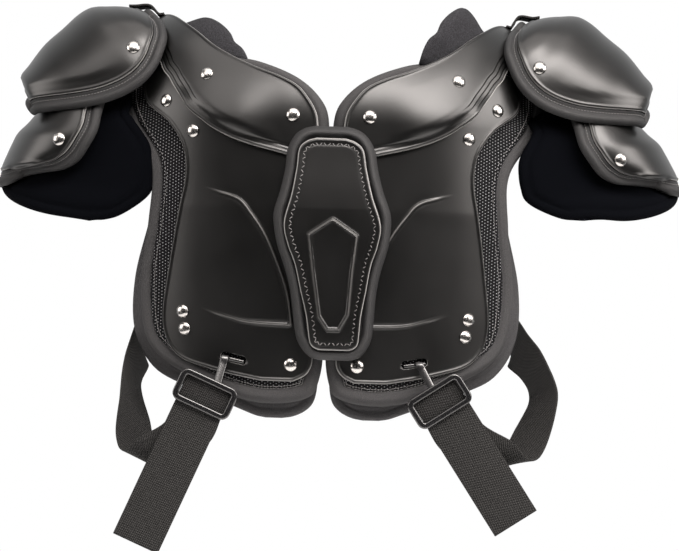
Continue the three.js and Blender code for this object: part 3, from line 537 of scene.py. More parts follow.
def slab(name, base, normal, high, low, uv, attributes=None):
    """Closed sheet round a grid: its outer face is base + high * normal and its inner face base + low *
    normal, and both share the grid's border."""
    rows, cols = base.shape[:2]
    outer = base + normal * high[..., None]
    inner = base + normal * low[..., None]
    top = np.arange(rows * cols).reshape(rows, cols)
    under = top.copy()
    under[1:-1, 1:-1] = rows * cols + np.arange((rows - 2) * (cols - 2)).reshape(rows - 2, cols - 2)
    verts = np.concatenate([outer.reshape(-1, 3), inner[1:-1, 1:-1].reshape(-1, 3)])
    faces = lambda g: np.stack([g[:-1, :-1], g[:-1, 1:], g[1:, 1:], g[1:, :-1]], -1).reshape(-1, 4)
    quads = np.concatenate([faces(top), faces(under)[:, ::-1]])
    both = lambda g: np.concatenate([
        g.reshape(rows * cols, -1), g[1:-1, 1:-1].reshape((rows - 2) * (cols - 2), -1)])
    extra = {key: both(value) for key, value in (attributes or {}).items()}
    return mesh_object(name, verts, quads, uv=both(uv), attributes=extra)


def sweep(name, path, a, b, profile, closed=False):
    """A closed profile carried along a path: path + a * across + b * up, with its ends closed by fans."""
    profile = np.asarray(profile, float)
    pts = path[:, None] + a[:, None] * profile[None, :, 0:1] + b[:, None] * profile[None, :, 1:2]
    idx = np.arange(pts.shape[0] * pts.shape[1]).reshape(pts.shape[:2])
    quads = ring_faces(np.concatenate([idx, idx[:1]]) if closed else idx)
    verts = pts.reshape(-1, 3)
    uv = np.stack(np.meshgrid(path_length(path), path_length(profile), indexing="ij"), -1).reshape(-1, 2)
    if closed:
        return mesh_object(name, verts, quads, uv=uv)
    verts = np.concatenate([verts, pts[:1].mean(1), pts[-1:].mean(1)])
    return mesh_object(name, verts, quads, end_fans(idx), np.concatenate([uv, uv[:1], uv[-1:]]))


def round_bar(width, height, corner, count=4):
    """Closed rectangle with round corners as points (across, up)."""
    turn = np.linspace(0, math.pi / 2, count)
    parts = []
    for k, (sx, sy) in enumerate([(1, 1), (-1, 1), (-1, -1), (1, -1)]):
        angle = turn + k * math.pi / 2
        cx, cy = sx * (width / 2 - corner), sy * (height / 2 - corner)
        parts.append(np.stack([cx + corner * np.cos(angle), cy + corner * np.sin(angle)], 1))
    return np.concatenate(parts)


def stitch_field(name, points, along_dir, up, length, radius, lift):
    """Short threads: a six-sided spindle of four rings set at every point, joined into one mesh."""
    ends = np.array([-0.5, -0.36, 0.36, 0.5])
    thick = np.array([0.35, 1.0, 1.0, 0.35])
    ring = np.arange(6) / 6 * TAU
    local = np.stack([
        np.repeat(ends * length, 6),
        np.outer(thick, np.cos(ring)).ravel() * radius,
        np.outer(thick, np.sin(ring)).ravel() * radius,
    ], 1)
    local[:, 2] += lift - 0.6 * radius * (np.abs(local[:, 0]) / (0.5 * length)) ** 2
    side = unit(np.cross(up, along_dir))
    verts = sum(axis[:, None] * local[None, :, k:k + 1] for k, axis in enumerate((along_dir, side, up)))
    verts = verts + points[:, None]
    caps = np.array([[5, 4, 1, 0], [4, 3, 2, 1], [18, 19, 22, 23], [19, 20, 21, 22]])
    shape = np.concatenate([ring_faces(np.arange(24).reshape(4, 6)), caps])
    quads = (shape[None] + 24 * np.arange(len(points))[:, None, None]).reshape(-1, 4)
    obj = mesh_object(name, verts.reshape(-1, 3), quads)
    dress(obj, "binding", look="thread")


def lathe(name, foot, axis, profile, segments=28):
    """A profile of (radius, height) turned round an axis, closed by a pole at the top and at the foot."""
    profile = np.asarray(profile, float)
    helper = np.array([1.0, 0, 0]) if abs(axis[0]) < 0.8 else np.array([0, 1.0, 0])
    a = unit(np.cross(axis, helper))
    b = np.cross(axis, a)
    turn = np.arange(segments) / segments * TAU
    ring = np.cos(turn)[:, None] * a + np.sin(turn)[:, None] * b
    verts = foot + profile[:, None, 0:1] * ring[None] + profile[:, None, 1:2] * axis
    idx = np.arange(len(profile) * segments).reshape(-1, segments)
    poles = np.stack([foot + axis * profile[0, 1], foot + axis * profile[-1, 1]])
    return mesh_object(name, np.concatenate([verts.reshape(-1, 3), poles]), ring_faces(idx), end_fans(idx))


def dress(obj, slot, nodes=(), look=None):
    """Gives a piece its finish and its body, and hides the CAD nodes that it stands for."""
    obj.data.materials.clear()
    obj.data.materials.append(looks()[look or slot])
    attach(obj, "root")
    if nodes:
        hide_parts(*nodes)


class Look:
    """Small helper that builds a node material from the shader outwards."""

    def __init__(self, name, color, rough, **sockets):
        self.mat = bpy.data.materials.new(name)
        self.mat.use_nodes = True
        self.tree = self.mat.node_tree
        self.shader = self.tree.nodes["Principled BSDF"]
        self.shader.inputs["Base Color"].default_value = (*color, 1)
        self.shader.inputs["Roughness"].default_value = rough
        for key, value in sockets.items():
            self.shader.inputs[key.replace("_", " ")].default_value = value

    def node(self, kind, **values):
        node = self.tree.nodes.new(kind)
        for key, value in values.items():
            if key in node.bl_rna.properties:
                setattr(node, key, value)
            else:
                node.inputs[key.replace("_", " ")].default_value = value
        return node

    def link(self, a, b):
        self.tree.links.new(a, b)

    def math(self, op, a, b=None, c=None):
        node = self.node("ShaderNodeMath", operation=op)
        for k, value in enumerate((a, b, c)):
            if value is None:
                continue
            if isinstance(value, (int, float)):
                node.inputs[k].default_value = value
            else:
                self.link(value, node.inputs[k])
        return node.outputs[0]

    def place(self, source):
        coord = self.node("ShaderNodeTexCoord")
        return coord.outputs["UV" if source == "uv" else "Object"]

    def axes(self, source):
        split = self.node("ShaderNodeSeparateXYZ")
        self.link(self.place(source), split.inputs[0])
        return split.outputs

    def attribute(self, name):
        return self.node("ShaderNodeAttribute", attribute_name=name).outputs["Fac"]

    def noise(self, source, scale, detail=3.0):
        node = self.node("ShaderNodeTexNoise", Scale=scale, Detail=detail)
        self.link(self.place(source), node.inputs["Vector"])
        return node.outputs["Fac"]

    def range(self, value, low, high, to_low=0.0, to_high=1.0, kind="LINEAR"):
        node = self.node("ShaderNodeMapRange", interpolation_type=kind)
        for key, number in zip(("From Min", "From Max", "To Min", "To Max"), (low, high, to_low, to_high)):
            node.inputs[key].default_value = number
        self.link(value, node.inputs["Value"])
        return node.outputs[0]

    def blend(self, factor, a, b):
        """Colour a where factor is 0 and b where it is 1."""
        node = self.node("ShaderNodeMix", data_type="RGBA")
        self.link(factor, node.inputs["Factor"])
        for socket, value in ((node.inputs[6], a), (node.inputs[7], b)):
            if isinstance(value, tuple):
                socket.default_value = (*value, 1)
            else:
                self.link(value, socket)
        return node.outputs[2]

    def color(self, value):
        self.link(value, self.shader.inputs["Base Color"])

    def rough(self, value):
        self.link(value, self.shader.inputs["Roughness"])

    def bump(self, height, strength, distance):
        node = self.node("ShaderNodeBump", Strength=strength, Distance=distance)
        self.link(height, node.inputs["Height"])
        before = self.shader.inputs["Normal"]
        if before.is_linked:
            self.link(before.links[0].from_socket, node.inputs["Normal"])
        self.link(node.outputs[0], before)


def weave(look, pitch_u, pitch_v):
    """Height of a plain weave on the piece's own map in millimetres: crossing threads as two sine waves
    that take turns on top."""
    u, v, _ = look.axes("uv")
    su = look.math("SINE", look.math("MULTIPLY", u, TAU / pitch_u))
    sv = look.math("SINE", look.math("MULTIPLY", v, TAU / pitch_v))
    return look.math("MULTIPLY", su, sv)


def dots(look, pitch, size):
    """1 inside round holes set in staggered rows on the piece's own map, 0 between them."""
    u, v, _ = look.axes("uv")
    row = look.math("FLOOR", look.math("DIVIDE", v, pitch * 0.87))
    shift = look.math("MULTIPLY", look.math("MODULO", row, 2.0), pitch * 0.5)
    cu = look.math("SUBTRACT", look.math("WRAP", look.math("ADD", u, shift), pitch, 0.0), pitch / 2)
    cv = look.math("SUBTRACT", look.math("WRAP", v, pitch * 0.87, 0.0), pitch * 0.435)
    r = look.math("SQRT", look.math("ADD", look.math("MULTIPLY", cu, cu), look.math("MULTIPLY", cv, cv)))
    return look.range(r, size * 1.2, size * 0.8)


def color_of(name):
    return tuple(getattr(bpy.context.scene.pad_colours, name))


LOOKS = {}
FINE = [0, 0.12, 0.4, 0.8, 1.2, 1.7, 2.3, 3.0, 3.8, 5, 6.5, 8.5]
SOFT = [0, 0.3, 0.9, 1.8, 2.9, 4.2, 5.6, 6.9, 7.9, 8.6, 9.2, 10, 10.9, 11.6, 12.2, 12.8, 13.6, 15]
RIB_PLACES = (3.6, 7.2, 10.8)


def shell_look():
    """Satin plastic with painted highlights along its edge and its crest line, a bumped crest and the steps
    beside the arch's edge.
    """
    look = Look("satin_shell", color_of("shell"), 0.35, Specular_IOR_Level=0.45)
    look.bump(look.noise("object", 1400.0), 0.12, 0.00025)
    look.rough(look.range(look.noise("object", 22.0), 0.3, 0.7, 0.33, 0.38))
    crest, rib = look.attribute("crest"), look.attribute("rib")
    crest_weight, rib_weight = look.attribute("crest_weight"), look.attribute("rib_weight")
    # Painted highlight: a lighter band of colour over the crest and within a millimetre of the shell's edge.
    line = look.math("SUBTRACT", look.range(crest, 0.0, 0.8), look.range(crest, 1.0, 2.0))
    line = look.math("MULTIPLY", look.math("MULTIPLY", line, crest_weight), 0.6)
    line = look.math("MAXIMUM", line, look.range(look.attribute("edge"), 1.0, 0.4))
    look.color(look.blend(line, color_of("shell"), color_of("shell_edge")))
    rise = look.range(crest, -0.5, 1.1, kind="SMOOTHSTEP")
    height = look.math("SUBTRACT", rise, look.range(crest, 1.3, 3.6, kind="SMOOTHSTEP"))
    height = look.math("MULTIPLY", height, crest_weight)
    for k in RIB_PLACES:
        step = look.range(rib, k - 0.5, k + 0.5, -1, 0, kind="SMOOTHSTEP")
        height = look.math("ADD", height, look.math("MULTIPLY", step, rib_weight))
    look.bump(height, 1.0, 0.0017)
    return look


def cover_look():
    """Cloth binding round an open mesh whose holes show light."""
    look = Look("pad_cover", color_of("cloth"), 0.8, Specular_IOR_Level=0.08)
    strip = look.range(look.attribute("edge"), 12.1, 12.6)
    shown = look.math("MULTIPLY", dots(look, 2.6, 0.36), strip)
    fibre = look.range(look.noise("object", 2600.0), 0.3, 0.75)
    base = look.blend(strip, look.blend(fibre, color_of("cloth"), color_of("cloth_light")), color_of("mesh"))
    look.color(look.blend(shown, base, color_of("mesh_dot")))
    look.bump(weave(look, 1.1, 1.1), 0.35, 0.0003)
    look.bump(shown, 0.5, -0.0005)
    return look


def fibre_look(name, dark, light, rough, level, grain, pitch):
    """Cloth with light fibres among dark ones, and a plain weave."""
    look = Look(name, color_of(dark), rough, Specular_IOR_Level=level)
    fibre = look.range(look.noise("object", grain), 0.3, 0.75)
    look.color(look.blend(fibre, color_of(dark), color_of(light)))
    look.bump(weave(look, pitch, pitch), 0.4, 0.0003)
    return look


def looks():
    """Every material of the pad, made once."""
    if LOOKS:
        return LOOKS
    foam = Look("deltoid_cloth", color_of("deltoid"), 0.95, Specular_IOR_Level=0.03)
    foam.bump(weave(foam, 0.9, 0.9), 0.25, 0.0002)
    foam.bump(foam.noise("object", 60.0), 0.25, 0.0015)

    heather = Look("heather_cloth", color_of("heather"), 0.92, Specular_IOR_Level=0.1)
    fibre = heather.noise("object", 1700.0, 2.0)
    heather.color(heather.blend(heather.range(fibre, 0.38, 0.66), color_of("rim"), color_of("heather")))
    heather.bump(fibre, 0.35, 0.0004)

    webbing = Look("webbing", color_of("webbing"), 0.75, Specular_IOR_Level=0.12)
    over = weave(webbing, 1.7, 2.0)
    # Painted shade: the webbing's colour goes dark where the weave sinks.
    webbing.color(webbing.blend(webbing.range(over, 0.0, 0.8), (0.003, 0.003, 0.003), color_of("webbing")))
    webbing.bump(over, 0.55, 0.0005)

    thread = Look("thread", color_of("thread"), 0.7, Specular_IOR_Level=0.3)
    thread.bump(thread.noise("object", 4000.0), 0.3, 0.0002)

    rivet = Look("dark_chrome", (0.36, 0.35, 0.34), 0.24, Metallic=1.0)
    rivet.rough(rivet.range(rivet.noise("object", 500.0), 0.3, 0.7, 0.2, 0.3))

    hook = Look("hook_metal", color_of("hook"), 0.26, Specular_IOR_Level=0.6, Coat_Weight=0.3,
                Coat_Roughness=0.25)
    hook.bump(hook.noise("object", 900.0), 0.1, 0.0002)

    made = dict(
        shell=shell_look(), pad_cover=cover_look(), foam=foam, heather=heather, webbing=webbing, thread=thread,
        rivet=rivet, hook=hook,
        binding=fibre_look("binding", "rim", "cloth", 0.55, 0.3, 2400.0, 1.0),
        lining=fibre_look("lining", "lining", "cloth_light", 0.9, 0.2, 2000.0, 1.6))
    LOOKS.update({key: look.mat for key, look in made.items()})
    return LOOKS


def layer_surface(rows, side, offsets, mid, step=4.0):
    """Grid, points and normals of a layer, and the distance of every point from its border."""
    x, s = layer_grid(rows, side["sign"], offsets, step)
    p, n = body(x, s, mid, side["slope"])
    return x, s, p, n, distance_to(p, border(p))


def inward_of(line, run, passes):
    """Directions at a right angle to a closed flat line, towards its middle and evened out along it."""
    inward = np.stack([-run[:, 1], run[:, 0]], 1)
    if ((line - line.mean(0)) * inward).sum() > 0:
        inward = -inward
    for _ in range(passes):
        inward = unit(inward + np.roll(inward, 1, 0) + np.roll(inward, -1, 0))
    return inward


def make_pads(name, side):
    """Cover with a rolled binding, a sunk seam and two rows of stitches, and the quilted liner behind it."""
    half = PAD_THICK / 2
    x, s, p, n, e = layer_surface(PAD, side, SOFT, -half, 3.6)
    ripple = 0.18 * np.sin(s / 7.3 + 2 * np.sin(x / 19)) + 0.12 * np.sin(s / 3.1 + x / 11)
    high = half * bend(e, 5.6) + 1.3 * bump(e, 6.0, 3.2) - 1.9 * bump(e, 12.2, 0.9)
    high = high + 0.35 * ripple * smooth(e / 2) - 0.9 * smooth((e - 18) / 8)
    high = np.where(e < 1e-6, 0, high)
    obj = slab(f"{name}_pad_cover", p, n, high, -half * bend(e, 6), np.stack([s, x], -1), {"edge": e})
    dress(obj, "binding", [f"{name}_body_pad"], "pad_cover")

    ring, run = resample(border(np.stack([x, s], -1)), 3.0, closed=True)
    inward = inward_of(ring, run, 3)
    spots, dirs, ups = [], [], []
    for offset, height in ((12.2, -1.2), (14.0, 0.0)):
        q = ring + inward * offset
        a, na = body(q[:, 0], q[:, 1], height, side["slope"])
        spots.append(a)
        ups.append(na)
        dirs.append(unit(np.roll(a, -1, 0) - np.roll(a, 1, 0)))
    spots, dirs, ups = (np.concatenate(parts) for parts in (spots, dirs, ups))
    stitch_field(f"{name}_pad_stitches", spots, dirs, ups, 2.2, 0.3, 0.1)

    half = LINER_THICK / 2
    x, s, p, n, e = layer_surface(LINER, side, SOFT, -PAD_THICK - PLATE_IN - half, 5.0)
    quilt = 0.6 * (1 - np.abs(np.sin(s / 14)) ** 0.5) * smooth((e - 8) / 6)
    high = half * bend(e, 3.5) + 0.3 * bump(e, 3.5, 2) - 0.8 * bump(e, 8, 1) * (e > 0.1)
    obj = slab(f"{name}_liner_cloth", p, n, high, -half * bend(e, 3.5) + quilt, np.stack([s, x], -1))
    dress(obj, "lining", [f"{name}_liner"])


def field_relief(x, s, side):
    """Raised field of the chest plate: its height, the distance from its crest and the weight of the
    crest, which runs out towards the arm."""
    z = body_base(x, s, side["slope"])[..., 2]
    outline = through([[*corner, 0.0] for corner in FIELD], 2.0)[:, :2]
    d = inside(np.stack([np.abs(x), z], -1), outline)
    fade = smooth((100 - np.abs(x)) / 50) * (s > 0)
    return (1.9 * smooth(d / 3.4) - 0.4 * bump(d, -1.4, 1.2)) * fade, np.clip(d, -6, 12), fade


def belly(x, s):
    """Forward bulge of the arch at the chest line."""
    return ARCH_BELLY * bump(s, BELLY_AT, BELLY_SPAN) * smooth((np.abs(x) - 40) / 40)


def arch_ribs(s, p, e):
    """Three steps beside the arch's lower edge between the shoulder and the collar: the height, the
    distance from the edge and the weight of the steps."""
    outer = distance_to(p, p[:, -1], closed=False)
    a = np.abs(station(s))
    span = smooth((a - 0.22) / 0.1) * smooth((0.93 - a) / 0.12)
    steps = sum(smooth((k - outer) / 1.6 + 0.5) for k in RIB_PLACES)
    tail = smooth((a - 0.85) / 0.1)
    return -0.4 * steps * span * smooth(e / 0.8) - 0.6 * bump(outer, 6.5, 1.2) * tail, outer, span


def shell_slab(label, rows, side, inn, out, node, shape, step):
    x, s, p, n, e = layer_surface(rows, side, FINE, (inn + out) / 2, step)
    half = (out - inn) / 2
    high = half * bend(e, 1.1) + 0.8 * bump(e, 1.8, 0.85) * (e > 0.05)
    low = -half * bend(e, 1.1)
    attributes = {"edge": e}
    if shape == "field":
        height, crest, weight = field_relief(x, s, side)
        attributes.update(crest=crest, crest_weight=weight)
        high, low = high + height * (e > 0.05), low + height * (e > 0.05)
    if shape == "ribs":
        height, outer, weight = arch_ribs(s, p, e)
        attributes.update(rib=outer, rib_weight=weight)
        swell = belly(x, s) * smooth(e / 16)
        high, low = high + height + swell, low + swell
    obj = slab(label, p, n, high, low, np.stack([s, x], -1), attributes)
    dress(obj, "shell", [node])
    return obj


def slot_place(side):
    """Middle of the hook's slot on the chest plate, the normal there and the direction along the slot."""
    across = side["sign"] * SLOT_SHARE * HALF_WIDTH
    p, n = body(across, float(along(SLOT_STATION)), PLATE_OUT, side["slope"])
    a = math.radians(side["slot_turn"])
    return p, n, np.array([math.cos(a), 0, math.sin(a)])


def cut_slot(obj, side):
    """Cuts the round-ended slot of the strap hook through the chest plate."""
    p, n, ax = slot_place(side)
    path = p + np.linspace(-12, 12, 2)[:, None] * n
    profile = round_bar(SLOT_LENGTH, SLOT_HEIGHT, 3.4, 7)
    cutter = sweep("slot_cutter", path, np.tile(ax, (2, 1)), np.tile(np.cross(ax, n), (2, 1)), profile)
    mod = obj.modifiers.new("slot", "BOOLEAN")
    mod.operation = "DIFFERENCE"
    mod.solver = "EXACT"
    mod.object = cutter
    bpy.context.view_layer.update()
    fresh = bpy.data.meshes.new_from_object(obj.evaluated_get(bpy.context.evaluated_depsgraph_get()))
    obj.modifiers.clear()
    obj.data = fresh
    bpy.data.objects.remove(cutter, do_unlink=True)
    while len(obj.data.materials) > 1:
        obj.data.materials.pop(index=len(obj.data.materials) - 1)


def make_shells(name, side):
    for label, rows, inn, out, node, shape, step in (
        ("chest_shell", PLATE, PLATE_IN, PLATE_OUT, "chest_plate", "field", 2.2),
        ("back_shell", BACK_PLATE, PLATE_IN, PLATE_OUT, "back_plate", "plain", 3.2),
        ("arch_shell", ARCH, ARCH_IN, ARCH_OUT, "shoulder_arch", "ribs", 2.6),
    ):
        obj = shell_slab(f"{name}_{label}", rows, side, inn, out, f"{name}_{node}", shape, step)
        if shape == "field":
            cut_slot(obj, side)


def dome_surface(form, side, offsets, step, mid):
    """Grid over a dome with its points, normals and distances from the border, all on its side."""
    u = spread(1.5 * form["fall"] + 40, offsets, step)
    v = spread(DOME_ROUND, offsets, step)
    u, v = np.meshgrid(u / u[-1], 2 * v / v[-1] - 1, indexing="ij")
    p, n = dome(form, u, v)
    p = p + n * mid
    e = distance_to(p, border(p))
    return u, v, place(p, side), place_normal(n, side), e


def edge_path(steps, closed):
    """Places along a dome's edge."""
    across = 10
    path = [[i / steps, -1] for i in range(steps + 1)]
    path += [[1, -1 + 2 * k / across] for k in range(1, across)]
    path += [[i / steps, 1] for i in range(steps, -1, -1)]
    if closed:
        path += [[0, -1 + 2 * k / across] for k in range(across - 1, 0, -1)]
    return np.array(path, float)


# Upper half of a binding's section, from the shell outwards: share of the width and height.
RIM_SECTION = [
    [0, 0.3], [0.02, 0.45], [0.08, 0.3], [0.15, 0.1], [0.25, 0.1], [0.3, 0.15], [0.34, 0.4], [0.37, 1.1],
    [0.42, 2.1], [0.52, 3.1], [0.63, 3.4], [0.75, 3.1], [0.87, 2.2], [0.96, 1.1], [1.0, 0.35],
]


def make_rim(label, form, side, closed, node):
    """Band outside a dome's edge: a thin stitched strip and then a padded roll, carried along the edge in
    directions that are evened out along it."""
    nodes = edge_path(form["steps"], closed)
    p, n = dome(form, nodes[:, 0], nodes[:, 1])
    ahead, back = np.roll(p, -1, 0), np.roll(p, 1, 0)
    if not closed:
        ahead[-1], back[0] = p[-1], p[0]
    outs = unit(np.cross(ahead - back, n))
    centre = dome_point(form, 0.5, 0.0)
    if np.dot(outs[3], p[3] - centre) < 0:
        outs = -outs
    for _ in range(2):
        before, after = np.roll(outs, 1, 0), np.roll(outs, -1, 0)
        if not closed:
            before[0], after[-1] = outs[0], outs[-1]
        outs = unit(outs + before + after)
    fine = 7
    count = len(nodes)
    if closed:
        t = np.arange(count * fine) / fine + 2
        wrap = lambda g: np.concatenate([g[-2:], g, g[:3]])
    else:
        t = np.arange((count - 1) * fine + 1) / fine
        wrap = lambda g: g
    ends = wrap(nodes)
    u = np.interp(t, np.arange(len(ends)), ends[:, 0])
    v = np.interp(t, np.arange(len(ends)), ends[:, 1])
    out = unit(np.stack([column(wrap(outs), k, t) for k in range(3)], 1))
    p, n = dome(form, u, v)
    n = unit(n - out * (n * out).sum(-1, keepdims=True))
    start = p - n * form["thick"] / 2 + out * RIM_GAP
    width = bpy.context.scene.pad_sizes.rim_width / MM
    upper = np.array(RIM_SECTION) * [width, 1.0]
    profile = np.concatenate([upper, upper[::-1] * [1.0, -0.55] - [0.0, 0.6]])
    profile = np.roll(profile, -len(upper) - 2, axis=0)
    path, a, b = place(start, side), place_normal(out, side), place_normal(n, side)
    obj = sweep(label, path, a, b, profile, closed)
    dress(obj, "binding", [node])
    seam = path + a * 0.22 * width + b * 0.15
    spots, dirs = resample(seam, 2.6, closed)
    pick = np.linspace(0, len(path) - 1, len(spots)).astype(int)
    stitch_field(f"{label}_stitches", spots, dirs, b[pick], 1.9, 0.28, 0.1)


def make_epaulets(name, side):
    """Cap and flap with their bindings, and the deltoid pad under them."""
    for kind in ("cap", "flap"):
        form = forms_of(side)[kind]
        half = form["thick"] / 2
        u, v, p, n, e = dome_surface(form, side, FINE, 3.2, -half)
        high = half * bend(e, 1.2) + 0.7 * bump(e, 1.9, 0.85) * (e > 0.05)
        if kind == "cap":
            margin = 0.8 * smooth((e - 9.0) / 2.2) - 0.8
            high = high + margin * smooth((u - 0.45) / 0.2) * smooth(e / 1.5)
        uv = np.stack([u * 150, v * 120], -1)
        obj = slab(f"{name}_{kind}_shell", p, n, high, -half * bend(e, 1.2), uv, {"edge": e})
        dress(obj, "shell", [f"{name}_epaulet_{kind}"])
        make_rim(f"{name}_{kind}_binding", form, side, kind == "cap", f"{name}_{kind}_rim")
    form = forms_of(side)["deltoid"]
    half = form["thick"] / 2
    u, v, p, n, e = dome_surface(form, side, SOFT, 3.6, -half)
    sag = 0.5 * np.sin(7 * u + 3 * v) + 0.35 * np.sin(13 * u - 6 * v + 1)
    high = half * bend(e, 4) * mix(0.75, 1.0, smooth((e - 7) / 6)) - 0.9 * bump(e, 7.2, 0.9)
    high = np.where(e < 1e-6, 0, high + 0.6 * sag * smooth(e / 10))
    uv = np.stack([u * 160, v * 130], -1)
    obj = slab(f"{name}_deltoid_cushion", p, n, high, -half * bend(e, 5), uv)
    dress(obj, "foam", [f"{name}_deltoid_pad"])


def make_hinge(name, side):
    """Webbing that bends from the top of the arch onto the rim of the cap."""
    form = forms_of(side)["cap"]
    top = lambda x: float(body(x, 0.0, ARCH_OUT, side["slope"])[0][2])
    edge = dome_point(form, 0.0, 0.0)
    cap = place(np.array([edge[0] - RIM_WIDTH * 0.2, 0, edge[2] + 1.2]), side)
    start = 0.945 * HALF_WIDTH
    pts = [
        [start, top(start) + 3 * SEAT], [start + 4, top(start + 4) + SEAT + 2],
        [abs(cap[0]) - 9, cap[2] + SEAT + 0.6], [abs(cap[0]) + 3, cap[2] + SEAT],
    ]
    pts = [[side["sign"] * x, 0, z + WEB_THICK / 2] for x, z in pts]
    p, n = dome(form, 0.07, 0.0)
    path = through([*pts, place(p + n * 1.2, side)], 1.5)
    run = unit(np.gradient(path, axis=0))
    a = np.tile([0.0, 1.0, 0.0], (len(path), 1))
    obj = sweep(f"{name}_hinge_webbing", path, a, np.cross(run, a), round_bar(HINGE_WIDTH, WEB_THICK, 0.8))
    dress(obj, "webbing", [f"{name}_cap_hinge"])


def make_neck(name, side):
    """Neck cushion, raised where it stands free of the arch."""
    half = NECK_THICK / 2
    x, s, p, n, e = layer_surface(NECK, side, [0, 0.2, 0.6, 1.2, 2, 3, 4.2, 5.5], 0.5 - half, 2.2)
    front = [row for row in ARCH if row[0] >= 0]
    arch_edge = np.interp(np.abs(station(s)), [row[0] for row in front], [row[1] for row in front])
    lift = side["neck"] * smooth((arch_edge - np.abs(x) / HALF_WIDTH) / 0.17)
    p = p + n * lift[..., None]
    e = distance_to(p, border(p))
    high = half * bend(e, 4.5) + 0.8 * smooth(e / 10)
    obj = slab(f"{name}_neck_cushion", p, n, high, -half * bend(e, 4.5), np.stack([s, x], -1))
    dress(obj, "heather", [f"{name}_neck_pad"])


def hook_axes(side):
    a = math.radians(side["hook_turn"])
    y = -(CHEST_DEPTH + PLATE_OUT + HOOK_ROOM + WEB_THICK) + WAIST_LEAN * (WAIST_START - HOOK_Z) - 2
    centre = np.array([side["sign"] * side["hook_x"], y, HOOK_Z])
    return centre, np.array([math.cos(a), 0, math.sin(a)]), np.array([-math.sin(a), 0, math.cos(a)])


def make_hook(name, side):
    """Rounded frame of flat bar, a stem that bends back into the plate's slot, and a crossbar behind it."""
    centre, bar, rise = hook_axes(side)
    loop = round_bar(HOOK_LENGTH - HOOK_BAR, HOOK_WIDTH - HOOK_BAR, 4.2, 7)
    loop, run = resample(loop, 1.2, closed=True)
    path = centre + loop[:, :1] * bar + loop[:, 1:] * rise
    out = run[:, 1:] * bar - run[:, :1] * rise
    front = np.tile([0.0, -1.0, 0.0], (len(path), 1))
    obj = sweep(f"{name}_hook_frame", path, out, front, round_bar(HOOK_BAR, HOOK_THICK, 1.3), closed=True)
    dress(obj, "hook", [f"{name}_strap_hook"])

    p, n, across = slot_place(side)
    foot = centre + rise * (HOOK_WIDTH / 2 - HOOK_BAR * 0.6) + bar * side["stem_foot"]
    knee = p + n * HOOK_THICK * 0.9 + across * side["stem_tip"]
    tip = p - n * 1.0 + across * side["stem_tip"] - np.array([0, 0, 1.0])
    rows = [[*mix(foot, knee, t), *bar] for t in (0, 0.35, 0.75)] + [[*knee, *across], [*tip, *across]]
    line = through(rows, 0.8)
    path, w = line[:, :3], unit(line[:, 3:])
    up = unit(np.cross(unit(np.gradient(path, axis=0)), w))
    dress(sweep(f"{name}_hook_stem", path, w, up, round_bar(*STEM_BAR)), "hook")

    reach = np.linspace(-CROSSBAR_HALF, CROSSBAR_HALF, 24)
    path = p - n * 1.2 - np.array([0, 0, 1.2]) + reach[:, None] * across
    down, back = (np.tile(axis, (len(path), 1)) for axis in (np.cross(across, n), n))
    dress(sweep(f"{name}_hook_crossbar", path, down, back, round_bar(*CROSSBAR)), "hook")


def make_strap(name, side):
    """Webbing from the back of the pad round the side to the hook, round its lower bar and down."""
    sign = side["sign"]
    rows = STRAPS[name]
    t = np.linspace(0, len(rows) - 1, 2 * len(rows) - 1)
    c = [column(rows, k, t) for k in range(6)]
    p = np.stack([sign * c[0] * HALF_WIDTH, -c[1] * CHEST_DEPTH, CHEST_LINE - c[2] * FRONT_DROP], 1)
    w = unit(np.stack([-sign * c[3], c[4], c[5]], 1))
    nodes = [list(a) + list(b) for a, b in zip(p, w)]
    centre, bar, rise = hook_axes(side)
    across = -sign * bar
    reach = HOOK_THICK / 2 + 0.4 + WEB_THICK / 2
    low = centre - rise * (HOOK_WIDTH / 2 - HOOK_BAR / 2)
    back = np.array([0.0, 1.0, 0.0])
    rear = reach + WEB_THICK + 0.7
    window = HOOK_WIDTH - 2 * HOOK_BAR + 1.6
    at = lambda up_, depth: [*(low + rise * up_ + back * depth), *across]
    nodes += [at(-22, rear), at(0, rear), at(window * 0.6, rear), at(window, rear)]
    turn = (rear - reach) / 2
    for a in np.linspace(0, math.pi, 6)[1:-1]:
        nodes.append(at(window + turn * math.sin(a), reach + turn + turn * math.cos(a)))
    nodes += [at(window, reach), at(window * 0.6, reach), at(0, reach)]
    for f in (0.1, 0.35, 0.7, 1.0):
        nodes.append(at(-side["free_end"] * f, reach - 7 * f * (1 - 0.4 * f)))
    line = through(nodes, 1.6)
    path, w = line[:, :3], unit(line[:, 3:])
    up = unit(np.cross(unit(np.gradient(path, axis=0)), w))
    obj = sweep(f"{name}_strap_webbing", path, w, up, round_bar(WEB_WIDTH, WEB_THICK, 0.85))
    dress(obj, "webbing", [f"{name}_side_strap"])


def sternum_grid(rows, offsets, step):
    n = len(rows) - 1
    t = np.linspace(0, n, 3000)
    h, w = column(rows, 0, t) * STERNUM_HEIGHT, column(rows, 1, t) * STERNUM_HALF
    length = np.concatenate([[0], np.cumsum(np.hypot(np.diff(h), np.diff(w)))])
    at = spread(length[-1], offsets, step)
    h, w = np.interp(at, length, h), np.interp(at, length, w)
    slant = np.minimum(np.hypot(1, np.gradient(w) / np.gradient(h)), 3)
    last = offsets[-1]
    room = np.minimum(slant, 0.8 * w / last)
    off = np.asarray(offsets[:-1], float)
    left = -w[:, None] + off[None] * room[:, None]
    edge = w - last * room
    middle = edge[:, None] * np.linspace(-1, 1, 41)[None]
    across = np.concatenate([left, middle, -left[:, ::-1]], axis=1)
    z = STERNUM_TOP - h[:, None] + 0 * across
    return across, z, STERNUM_LEAN * h[:, None] + across


def sternum_face(z):
    """Depth of the sternum pad's seat, which tips back towards its top."""
    lean = STERNUM_TIP * smooth((z - TIP_START) / TIP_SPAN) + WAIST_LEAN * np.maximum(0, WAIST_START - z)
    return -(CHEST_DEPTH + ARCH_OUT + SEAT) + lean


